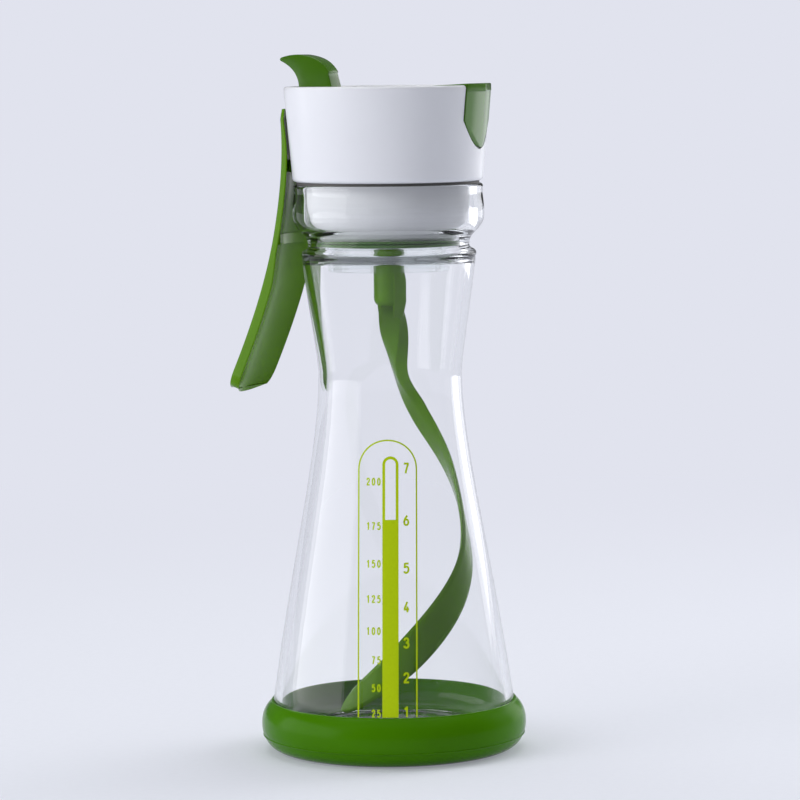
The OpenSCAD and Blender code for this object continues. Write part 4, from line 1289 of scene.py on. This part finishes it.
@dataclass
class Agitator:
    """Drive shaft, hub and the mixing blade.

    Each of the blade's stations gives its turn round the axis from the front view's right, its
    share of the free radius, its share of the drop, the way its face turns, and its share of the
    half width. The crease is a section's corners, across and out, and each of its rings is a
    height over the hub's lower end with a share of that section.
    """

    bottle: Bottle
    hub_r: float = 4.65
    hub_z: float = 134.4
    hub_top_z: float = 150.4
    view_turn: float = 21.0
    half_w: float = 5.0
    thick: float = 1.8
    low: float = 6.8
    lift: float = 5.0
    gap: float = 0.3
    end: float = 0.045
    ridge: float = 1.6
    ridge_side: float = 0.35
    steps: int = 260
    stations: tuple[tuple[float, ...], ...] = (
        (-60, 0, 0, 146, 0.86), (-68, 0.38, 0.15, 60, 0.86), (-49, 0.7, 0.27, 55, 1),
        (-13, 0.91, 0.42, 27, 1.06), (18, 0.93, 0.63, -4, 1.1), (76, 0.74, 0.85, -67, 1),
        (135, 0.66, 1, -150, 0.6))
    crease: tuple[Point2, ...] = (
        (1.2, 5.0), (1.6, 5.05), (5.0, 1.7), (5.1, 1.2), (4.4, -0.6), (3.0, 0.2))
    crease_rings: tuple[Point2, ...] = (
        (-3.2, 0.8), (-0.6, 0.92), (1.5, 1.0), (8.0, 1.0), (11.5, 0.86))

    def station(self, i: int) -> tuple[float, ...]:
        """A station by number; past the ends the row goes on in its last direction.

        Args:
            i: The station's number, from -1 to one past the last.

        Returns:
            The station's five values.
        """
        rows = self.stations
        if 0 <= i < len(rows):
            return rows[i]
        a, b = (rows[0], rows[1]) if i < 0 else (rows[-1], rows[-2])
        return tuple(2 * p - q for p, q in zip(a, b))

    def smooth_at(self, share: float) -> tuple[float, ...]:
        """Reads the stations as smooth curves.

        Args:
            share: How far down the blade, from 0 to 1.

        Returns:
            The five values there.
        """
        x = share * (len(self.stations) - 1)
        i = min(int(x), len(self.stations) - 2)
        t = x - i
        return tuple(0.5 * (2 * b + (c - a) * t + (2 * a - 5 * b + 4 * c - d) * t * t
                            + (3 * b - 3 * c + d - a) * t**3)
                     for a, b, c, d in zip(*(self.station(i + k) for k in (-1, 0, 1, 2))))

    def middle(self, share: float) -> Vector:
        """Reads the blade's middle line, which keeps clear of the bottle's wall.

        Args:
            share: How far down the blade, from 0 to 1.

        Returns:
            The point, in millimetres.
        """
        turn, reach, drop, _, _ = self.smooth_at(share)
        z = self.hub_z - (self.hub_z - self.bottle.floor_z - self.low) * drop
        free = min(self.bottle.inside_at(h + self.lift) for h in (z - self.half_w, z))
        radius = (free - self.thick / 2 - self.gap) * max(0.0, reach)
        angle = math.radians(self.view_turn - turn)
        return Vector((radius * math.cos(angle), radius * math.sin(angle), z))

    def section(self, share: float) -> list[Point2]:
        """The strip's section: thin edges, and a ridge on the inner face of the upper third.

        Args:
            share: How far down the blade, from 0 to 1.

        Returns:
            Points of across and through.
        """
        near_end = min(1.0, (1 - share) / self.end)
        half_w = (self.half_w * self.smooth_at(share)[4]
                  * max(0.12, math.sqrt(1 - (1 - near_end)**2)))
        half_t = self.thick / 2
        peak = half_t + self.ridge * (1 - ramp(share, 0.16, 0.36))
        corners = [(-1, 0), (-0.75, 0.85), (0, 1), (0.75, 0.85), (1, 0), (0.8, -0.7),
                   (-self.ridge_side, -peak / half_t), (-0.85, -0.7)]
        sharp = [(a * half_w, b * half_t) for a, b in corners]
        found = []
        for i, (a, b) in enumerate(sharp):
            for p, q in (sharp[i - 1], sharp[(i + 1) % len(sharp)]):
                found.append((a + (p - a) * 0.07, b + (q - b) * 0.07))
        return found

    def blade(self) -> None:
        """Makes the blade: a ridged strip that leaves the axis and winds down near the wall."""
        line = [self.middle(i / self.steps) for i in range(self.steps + 1)]
        rings = []
        for i, place in enumerate(line):
            ahead = (line[min(i + 1, self.steps)] - line[max(i - 1, 0)]).normalized()
            if i == 0:
                ahead = Vector((0, 0, -1))
            share = i / self.steps
            face = math.radians(self.smooth_at(share)[3])
            across = Vector((math.cos(face), math.sin(face), 0)).cross(ahead).normalized()
            through = ahead.cross(across)
            rings.append([place + across * a + through * b for a, b in self.section(share)])
        form = Form().loft(rings)
        turn = math.radians(self.stations[0][3])
        half_t, half_w = (self.thick - 0.3) / 2, self.hub_r - 0.9
        cos, sin = math.cos(turn), math.sin(turn)
        form.prism([(a * cos - b * sin, a * sin + b * cos)
                    for a, b in box_outline(-half_t, half_t, -half_w, half_w)],
                   self.hub_z - 0.4, self.hub_z + 5.9, along_z)
        finish_piece(form.piece("blade_strip"), Finishes.GREEN_BLADE, Body.AGITATOR,
                     ["mixing_blade"], 40)

    def hub(self) -> None:
        """Makes the hub with its rounded lower end, stepped top and the crease of the blade."""
        r, low, top = self.hub_r, self.hub_z, self.hub_top_z
        outline = [(0.0, low), *bezier((r - 2.4, low), (r - 1, low), (r, low + 1), (r, low + 2.6),
                                       12), (r, top - 1.8),
                   *bezier((r, top - 1.8), (r, top - 1.4), (r - 0.6, top - 1.1),
                           (r - 1.2, top - 1), 5)[1:], (r - 1.5, top - 0.2), (r - 1.7, top),
                   (2.02, top), (2.02, top - 9), (0.0, top - 9)]
        hub = Form().revolve(outline, 96)
        turn = math.radians(self.view_turn)
        cos, sin = math.cos(turn), math.sin(turn)
        rings = [[(share * (a * cos + b * sin), share * (a * sin - b * cos), low + rise)
                  for a, b in self.crease] for rise, share in self.crease_rings]
        hub.loft(rings)
        finish_piece(hub.piece("hub"), Finishes.GREEN_BLADE, Body.AGITATOR, ["blade_hub"])

    def build(self) -> None:
        """Makes blade and hub, and dresses the shaft's nodes."""
        self.blade()
        self.hub()
        dress_node("drive_shaft", Finishes.STEEL)
        dress_node("shaft_clip", Finishes.STEEL)
        dress_node("center_pinion", Finishes.GEAR)


@dataclass
class Trigger:
    """Green squeeze lever: a curved channel outside the cap on a lug with an arm."""

    head: Head
    top_x: float = -30.81
    top_z: float = 193.6
    low_x: float = -47.5
    low_z: float = 110.4
    neck_x: float = -27.6
    knee_x: float = -30.3
    half_w: float = 13.4
    bulge: float = 3.0
    sag: float = 2.6
    corner: float = 3.0
    corner_start: float = 0.955
    edge: float = 0.3
    rim_slant: float = 0.25
    lug_up: float = 1.8
    lug_in: float = -26.1
    lug_half_w: float = 4.4
    boss_half_w: float = 2.0
    boss_r: float = 2.5
    bore_r: float = 1.05
    tip_x: float = -19.0
    tip_up: float = 12.0
    tip_r: float = 1.7
    tip_half_w: float = 3.3
    rib_low_z: float = 153.0
    rib_t: float = 3.0
    rib_in: float = 1.1
    rib_share: float = 0.8
    clear_r: float = 32.5
    steps: int = 160

    def half_at(self, t: float) -> float:
        """Half the plate's width.

        Args:
            t: The place on its line, from 0 at its top to 1 at its lower end.

        Returns:
            The half width, less at the rounded corners.
        """
        q = max(0.0, t - self.corner_start) / (1 - self.corner_start)
        return (self.half_w * (0.74 + 0.26 * ramp(t, -0.1, 0.5))
                - self.corner * (1 - math.sqrt(1 - 0.96 * q * q))
                - 2 * (1 - ramp(t, -0.01, 0.05)))

    @staticmethod
    def thick_at(t: float) -> float:
        """The plate's thickness at t."""
        return 1 + 0.8 * ramp(t, 0, 0.22) + 1.1 * ramp(t, 0.56, 0.7)

    def plate(self, form: Form) -> list[tuple[float, ...]]:
        """Sweeps the channel's section down its line.

        Args:
            form: The form that takes the plate.

        Returns:
            The points of its line.
        """
        pivot_z = self.head.pivot_z
        line = bezier((self.top_x, self.top_z), (self.neck_x, pivot_z - 6.4),
                      (self.knee_x, pivot_z - 28.4), (self.low_x, self.low_z), self.steps)
        rings = []
        for i, (x, z) in enumerate(line):
            t = i / self.steps
            x0, z0 = line[max(i - 1, 0)]
            x1, z1 = line[min(i + 1, self.steps)]
            span = math.hypot(x1 - x0, z1 - z0)
            down_x, down_z = (x1 - x0) / span, (z1 - z0) / span
            half, thick, sag = self.half_at(t), self.thick_at(t), self.sag * ramp(t, 0.7, 1)
            rise = self.bulge * (half / self.half_w)**2
            e = min(self.edge, thick * 0.3)
            shares = [k / 12 for k in range(12, -13, -1)]
            over = [(half * s, rise * (1 - s * s)) for s in shares]
            under = [(-a, b - thick) for a, b in over]
            slant = thick * self.rim_slant
            for row, wide in ((over, half - slant - e * 0.5), (under, half - e * 0.5)):
                row[0] = (math.copysign(wide, row[0][0]), row[0][1])
                row[-1] = (math.copysign(wide, row[-1][0]), row[-1][1])
            left = [(slant - half, -e), (-half, -thick + e)]
            right = [(half, -thick + e), (half - slant, -e)]
            ring = []
            for across, up in over + left + under + right:
                low = sag * max(0.0, 1 - (across / half)**2)
                ring.append((x + down_z * up + down_x * low, across,
                             z - down_x * up + down_z * low))
            rings.append(ring)
        form.loft(rings)
        return line

    def build(self) -> None:
        """Makes the trigger."""
        form = Form()
        line = self.plate(form)
        heights = sorted((z, x) for x, z in line)
        out, up, z = self.head.pivot_out, self.lug_up, self.head.pivot_z
        boss, lug_in = self.boss_half_w, self.lug_in
        lug_x = lookup(z, heights) - 0.4 * self.bulge
        form.prism(box_outline(lug_x, lug_in, z - up, z + up), -self.lug_half_w, self.lug_half_w,
                   along_y)
        form.prism(box_outline(lug_in - 1, -out, z - up, z + up), -boss, boss, along_y)
        tip_x, tip_z = self.tip_x, z + self.tip_up
        form.prism([(-out - 1.6, z), (-out + 1.9, z), (tip_x + 1, tip_z), (tip_x - 1, tip_z)],
                   -boss, boss, along_y)
        form.prism(disc(tip_x, tip_z, self.tip_r), -self.tip_half_w, self.tip_half_w, along_y)
        rim = disc(-out, z, self.boss_r, 64)
        bore = disc(-out, z, self.bore_r, 64)
        n = len(rim)
        points = [along_y(a, b, y) for y in (-boss, boss) for ring in (rim, bore) for a, b in ring]
        faces = []
        for k in range(n):
            m = (k + 1) % n
            for a, b in ((0, 2 * n), (2 * n + n, n), (n, 0), (2 * n, 3 * n)):
                faces.append([a + k, a + m, b + m, b + k])
        form.shell(points, faces)
        self.rib(form, heights)
        # The trigger wears the lighter green, whose extra lightness is painted sheen on its rim
        finish_piece(form.piece("squeeze_lever"), Finishes.GREEN_TRIGGER, Body.TRIGGER,
                     ["trigger"], 40)

    def rib(self, form: Form, heights: Sequence[Point2]) -> None:
        """Adds the cross rib inside the channel, shaped round the bottle's collar.

        Args:
            form: The form that takes the rib.
            heights: The plate's line, as rising heights with their X.
        """
        low, thick = self.rib_low_z, self.rib_t
        mid_x = lookup(low + thick / 2, heights) - self.bulge + self.rib_in
        back_r = (self.half_w**2 + self.bulge**2) / (2 * self.bulge)
        reach = [self.half_w * self.rib_share * (k / 20 - 1) for k in range(41)]
        back = [(mid_x + back_r - math.sqrt(back_r**2 - y * y), y) for y in reach]
        front = [(-math.sqrt(self.clear_r**2 - y * y), y) for y in reach]
        section = back + list(reversed([(max(f[0], b[0] + 0.2), f[1])
                                        for f, b in zip(front, back)]))
        form.prism(section, low, low + thick, along_z)


@dataclass
class PourLever:
    """Thumb horn, arm, spout flap and tongue in one rocker, with the soft seal under it."""

    cap: Cap
    arm_z: float = 196.6
    arm_t: float = 2.4
    arm_half_w: float = 3.5
    pin_out: float = 12.0
    pin_z: float = 197.8
    horn_front: float = 16.2
    horn_back: float = 27.0
    horn_tip: float = 33.0
    horn_half_w: float = 4.0
    horn_h: float = 9.6
    arm_end: float = 19.4
    boss_r: float = 2.2
    bore_r: float = 1.05
    flap_t: float = 2.5
    flap_back: float = 17.0
    rear_drop: float = 0.6
    keel: float = 0.5
    tongue_depth: float = 1.0

    def horn(self) -> None:
        """Makes the thumb horn with its rounded back and the lip at its front edge."""
        z0, rim, top = self.arm_z, self.cap.top_z, self.cap.top_z + self.horn_h
        front, back, tip = self.horn_front, self.horn_back, self.horn_tip
        lip_x, lip_z = -front - 0.9, rim + self.horn_h * 0.44
        outline = [(-front, z0), (-front, rim - 0.4), (lip_x - 0.2, lip_z - 0.5), (lip_x, lip_z),
                   *bezier((lip_x, lip_z), (lip_x - 1.8, lip_z + 3), (-front - 5, top - 0.8),
                           (-back + 1, top - 0.1), 40)[1:],
                   *bezier((-back + 1, top - 0.1), (-back - 1.6, top + 0.2),
                           (-tip + 1.8, top - 0.4), (-tip + 0.4, top - 0.9), 12)[1:],
                   (-tip, top - 1.3),
                   *bezier((-tip + 0.1, top - 1.8), (-back - 3, top - 3.2),
                           (-back + 0.1, top - 5.4), (-back + 0.1, rim - 0.6), 32),
                   (-back + 0.1, z0)]
        horn = Form().prism(outline, -self.horn_half_w, self.horn_half_w, along_y)
        soft = soften(horn.piece("thumb_horn"), 0.6, 5, 50)
        finish_piece(soft, Finishes.GREEN, Body.LEVER, ["pour_lever"], 40)

    def arm(self) -> None:
        """Makes the arm and the pin's boss."""
        half, x, z = self.horn_half_w, -self.pin_out, self.pin_z
        bar = Form().prism(box_outline(-self.horn_front - 1, self.arm_end, self.arm_z,
                                       self.arm_z + self.arm_t),
                           -self.arm_half_w, self.arm_half_w, along_y)
        rounded = soften(bar.piece("lever_arm"), 0.35, 3)
        boss, bore = (Form().prism(disc(x, z, r, 64), -w, w, along_y).piece(name)
                      for name, r, w in (("boss", self.boss_r, half),
                                         ("bore", self.bore_r, half + 2)))
        combine(combine(rounded, [boss], Cut.JOIN), [bore], Cut.TAKE)
        finish_piece(rounded, Finishes.GREEN, Body.LEVER, ["pour_lever"])

    def plan(self, back: float) -> list[Point2]:
        """The flap seen from above, with its keel in front."""
        top_r, half = self.cap.top_r, self.cap.flap_half_w
        edge = math.sqrt(top_r**2 - half**2) + 0.25
        return [(back, -half), (edge, -half), (top_r + self.keel, 0), (edge, half), (back, half)]

    def flap(self) -> None:
        """Makes the spout flap and the tongue that hangs in the cap's recess."""
        cap = self.cap
        rim, tip_z = cap.top_z, cap.top_z - cap.tongue_h
        plate = soften(Form().prism(self.plan(self.flap_back), cap.flap_z,
                                    cap.flap_z + self.flap_t, along_z).piece("spout_flap"),
                       0.4, 4, 20)
        for corner in plate.data.vertices:
            if corner.co.z > (rim - 0.7) * MM and corner.co.x < (self.flap_back + 3) * MM:
                corner.co.z -= self.rear_drop * MM
        tilt = math.atan2(cap.top_r - cap.low_r, cap.height)
        turn = (Matrix.Translation((cap.top_r * MM, 0, rim * MM)) @ Matrix.Rotation(tilt, 4, "Y")
                @ Matrix.Translation((-cap.top_r * MM, 0, 0)))
        slab = Form().prism(self.plan(self.flap_back), -cap.tongue_h * 1.2, 2,
                            along_z).piece("tongue")
        slab.data.transform(turn)
        outline = Form().prism(cap.tongue(cap.flap_half_w, tip_z, cap.flap_z + 1.2),
                               self.flap_back, cap.top_r + 2, along_x).piece("outline")
        inner = cap.core("inner", self.tongue_depth, tip_z)
        combine(slab, [outline], Cut.KEEP)
        combine(slab, [inner], Cut.TAKE)
        finish_piece(plate, Finishes.GREEN, Body.LEVER, ["pour_lever"])
        finish_piece(slab, Finishes.GREEN, Body.LEVER, ["pour_lever"], 25)

    def build(self) -> None:
        """Makes the rocker and dresses its seal."""
        self.horn()
        self.arm()
        self.flap()
        dress_node("spout_seal", Finishes.SOFT_SEAL)


@dataclass
class Droplets:
    """Tiny drops of water on the clear floor, as after rinsing."""

    bottle: Bottle
    per_area: float = 60 / 0.0021
    low_r: float = 12.0
    high_r: float = 28.0
    size: float = 0.8
    seed: int = 7

    def build(self) -> None:
        """Scatters the drops with geometry nodes."""
        floor = self.bottle.floor_z
        band = Form().revolve(box_outline(self.low_r, self.high_r, floor, floor - 0.5),
                              64).piece("drop_band")
        tree = Geometry("drops", {"Ground": band, "Per area": self.per_area,
                                  "Drop radius": self.size * MM, "Floor height": floor * MM,
                                  "Seed": self.seed}, Finishes.WATER)
        book = tree.book
        ground = book.add("GeometryNodeObjectInfo", {"transform_space": "RELATIVE"},
                          {"Object": tree.input("Ground")}, out="Geometry")
        normal = book.add("GeometryNodeInputNormal")
        up = book.add("ShaderNodeSeparateXYZ", None, {0: normal}, out="Z")
        top = book.add("FunctionNodeCompare", {"operation": "GREATER_THAN"}, {0: up, 1: 0.5})
        points = book.add("GeometryNodeDistributePointsOnFaces", {"distribute_method": "RANDOM"},
                          {"Mesh": ground, "Selection": top, "Density": tree.input("Per area"),
                           "Seed": tree.input("Seed")})
        drop = book.add("GeometryNodeMeshUVSphere", None,
                        {"Segments": 12, "Rings": 8, "Radius": tree.input("Drop radius")})
        chance = book.add("FunctionNodeRandomValue", {"data_type": "FLOAT"},
                          {2: 0.25, 3: 1.0, "Seed": tree.input("Seed")}, out=1)
        squat = book.add("ShaderNodeCombineXYZ", None, {0: chance, 1: chance, 2: chance * 0.45})
        many = book.add("GeometryNodeInstanceOnPoints", None,
                        {"Points": points, "Instance": drop, "Scale": squat})
        lifted = book.add("GeometryNodeTransform", None,
                          {"Geometry": many, "Translation": (0, 0, self.size * 0.06 * MM)})
        made = tree.finish(lifted, "water_drops")
        bpy.data.objects.remove(band, do_unlink=True)
        finish_piece(made, Finishes.WATER, Body.BOTTLE, smooth=60)


@dataclass
class Studio:
    """Pale floor, soft lamps, pale surroundings and the camera."""

    backdrop: Colour = shade(225, 227, 238)
    azimuth: float = 21.0
    distance: float = 1145.9
    height: float = 208.25
    aim_z: float = 105.88
    aim_right: float = 2.88
    roll: float = 0.636
    lens: float = 171.86
    fill: float = 0.29
    gloss: float = 0.14
    floor_half: float = 6000.0
    fade_start: float = 0.12
    fade_end: float = 0.75
    near_glow: float = 0.3

    def world(self) -> None:
        """Sets the surroundings: the backdrop's colour to look at, soft light elsewhere."""
        world = bpy.data.worlds.new("surroundings")
        bpy.context.scene.world = world
        book = empty_book(world)
        rays = book.add("ShaderNodeLightPath")
        direct = 1.0 - rays.out("Diffuse Depth").at_most(1.0)
        seen = rays.at_least(rays.out("Is Transmission Ray")) * direct
        mirrored = rays.out("Is Glossy Ray")
        light = book.add("ShaderNodeBackground", None, {
            "Color": (0.96, 0.97, 1.0),
            "Strength": mirrored * (self.gloss - self.fill) + self.fill})
        sight = book.add("ShaderNodeBackground", None,
                         {"Color": self.backdrop, "Strength": 1.0})
        shader = book.add("ShaderNodeMixShader", None, {0: seen, 1: light, 2: sight})
        book.add("ShaderNodeOutputWorld", None, {"Surface": shader})

    def floor(self) -> None:
        """Lays a pale floor that fades into the backdrop at some distance."""
        half = self.floor_half * MM
        mesh = bpy.data.meshes.new("floor")
        mesh.from_pydata([(x, y, 0) for x, y in box_outline(-half, half, -half, half)], [],
                         [(0, 1, 2, 3)])
        floor = add_object("floor", mesh)
        paint = bpy.data.materials.new("floor_paint")
        book = empty_book(paint)
        place = book.add("ShaderNodeTexCoord", out="Object")
        away = book.add("ShaderNodeVectorMath", {"operation": "LENGTH"}, {0: place}, out="Value")
        fade = book.add("ShaderNodeMapRange", {"interpolation_type": "SMOOTHSTEP"},
                        {"Value": away, "From Min": self.fade_start,
                         "From Max": self.fade_end, "To Min": self.near_glow})
        grain = book.grain(place, 400.0, 2.0)
        near = book.add("ShaderNodeBsdfPrincipled", None, {
            "Base Color": book.mix(grain, shade(228, 231, 240), shade(233, 236, 245)),
            "Roughness": 0.55, "Specular IOR Level": 0.15})
        rays = book.add("ShaderNodeLightPath")
        seen = rays.at_least(rays.out("Is Glossy Ray")).at_least(rays.out("Is Transmission Ray"))
        glow = book.add("ShaderNodeEmission", None, {"Color": self.backdrop, "Strength": 1.0})
        shader = book.add("ShaderNodeMixShader", None, {0: seen * fade, 1: near, 2: glow})
        book.add("ShaderNodeOutputMaterial", None, {"Surface": shader})
        mesh.materials.append(paint)

    def lamp(self, name: str, turn: float, rise: float, away: float, wide: float, tall: float,
             power: float, mirrored: bool = True, lights: bool = True) -> None:
        """Hangs a softbox that faces the bottle.

        Args:
            name: The lamp's name.
            turn: Its place round the bottle, in degrees from the camera's side, right positive.
            rise: Its height above the horizon, in degrees.
            away: Its distance.
            wide, tall: Its size.
            power: Its strength in watts.
            mirrored: Whether glossy surfaces mirror it.
            lights: Whether it lights dull surfaces.
        """
        light = bpy.data.lights.new(name, "AREA")
        light.shape = "RECTANGLE"
        light.size, light.size_y = wide * MM, tall * MM
        light.energy = power
        lamp = add_object(name, light)
        a, e = math.radians(self.azimuth + turn), math.radians(rise)
        back = Vector((math.sin(a) * math.cos(e), -math.cos(a) * math.cos(e), math.sin(e)))
        lamp.location = Vector((0, 0, 0.1)) + back * away * MM
        lamp.rotation_mode = "QUATERNION"
        lamp.rotation_quaternion = back.to_track_quat("Z", "Y")
        lamp.visible_glossy, lamp.visible_diffuse = mirrored, lights
        lamp.visible_transmission = mirrored and not lights

    def lamps(self) -> None:
        """Hangs the softboxes: some light the bottle, others show only as soft highlights."""
        self.lamp("key_left", -59, 22, 1500, 1000, 1300, 14, mirrored=False)
        self.lamp("sheen_left", -84, 8, 1500, 1900, 1300, 16, lights=False)
        self.lamp("side_right", 122, 12, 1400, 800, 1500, 17, mirrored=False)
        self.lamp("sheen_right", 114, 8, 1400, 360, 1300, 0.3, lights=False)
        self.lamp("tongue_right", 140, 2, 1400, 700, 1100, 2.6, lights=False)
        self.lamp("above", 180, 75, 1500, 1500, 1100, 12)
        self.lamp("ceiling", 0, 88, 1500, 2600, 2600, 9, lights=False)

    def camera(self) -> None:
        """Sets up the camera at the photograph's place."""
        lens = bpy.data.cameras.new("camera")
        lens.lens = self.lens
        lens.sensor_width = 36.0
        lens.clip_start, lens.clip_end = 0.1, 40.0
        camera = add_object("camera", lens)
        a = math.radians(self.azimuth)
        right = Vector((math.cos(a), math.sin(a), 0))
        place = Vector((math.sin(a), -math.cos(a), 0)) * self.distance
        place = place + Vector((0, 0, self.height)) + right * self.aim_right
        aim = Vector((0, 0, self.aim_z)) + right * self.aim_right
        camera.location = place * MM
        turn = (aim - place).to_track_quat("-Z", "Y").to_matrix().to_4x4()
        turn = turn @ Matrix.Rotation(math.radians(-self.roll), 4, "Z")
        camera.rotation_mode = "QUATERNION"
        camera.rotation_quaternion = turn.to_quaternion()
        bpy.context.scene.camera = camera

    def build(self) -> None:
        """Sets up floor, surroundings, lamps and camera."""
        self.world()
        self.floor()
        self.lamps()
        self.camera()
        bpy.context.scene.view_settings.view_transform = "Standard"


def main() -> None:
    """Builds the bottle's parts and the studio, and dresses the gear's and the rack's CAD nodes."""
    logging.basicConfig(level=logging.INFO, format="%(message)s", force=True)
    bottle, cap, head = Bottle(), Cap(), Head()
    for part in (bottle, Boot(bottle), Scale(bottle), cap, head, Agitator(bottle),
                 Trigger(head), PourLever(cap), Droplets(bottle), Studio()):
        log.info("making %s", type(part).__name__)
        part.build()
    dress_node("compound_gear", Finishes.GEAR)
    dress_node("drive_rack", Finishes.GEAR)


if __name__ == "__main__":
    main()
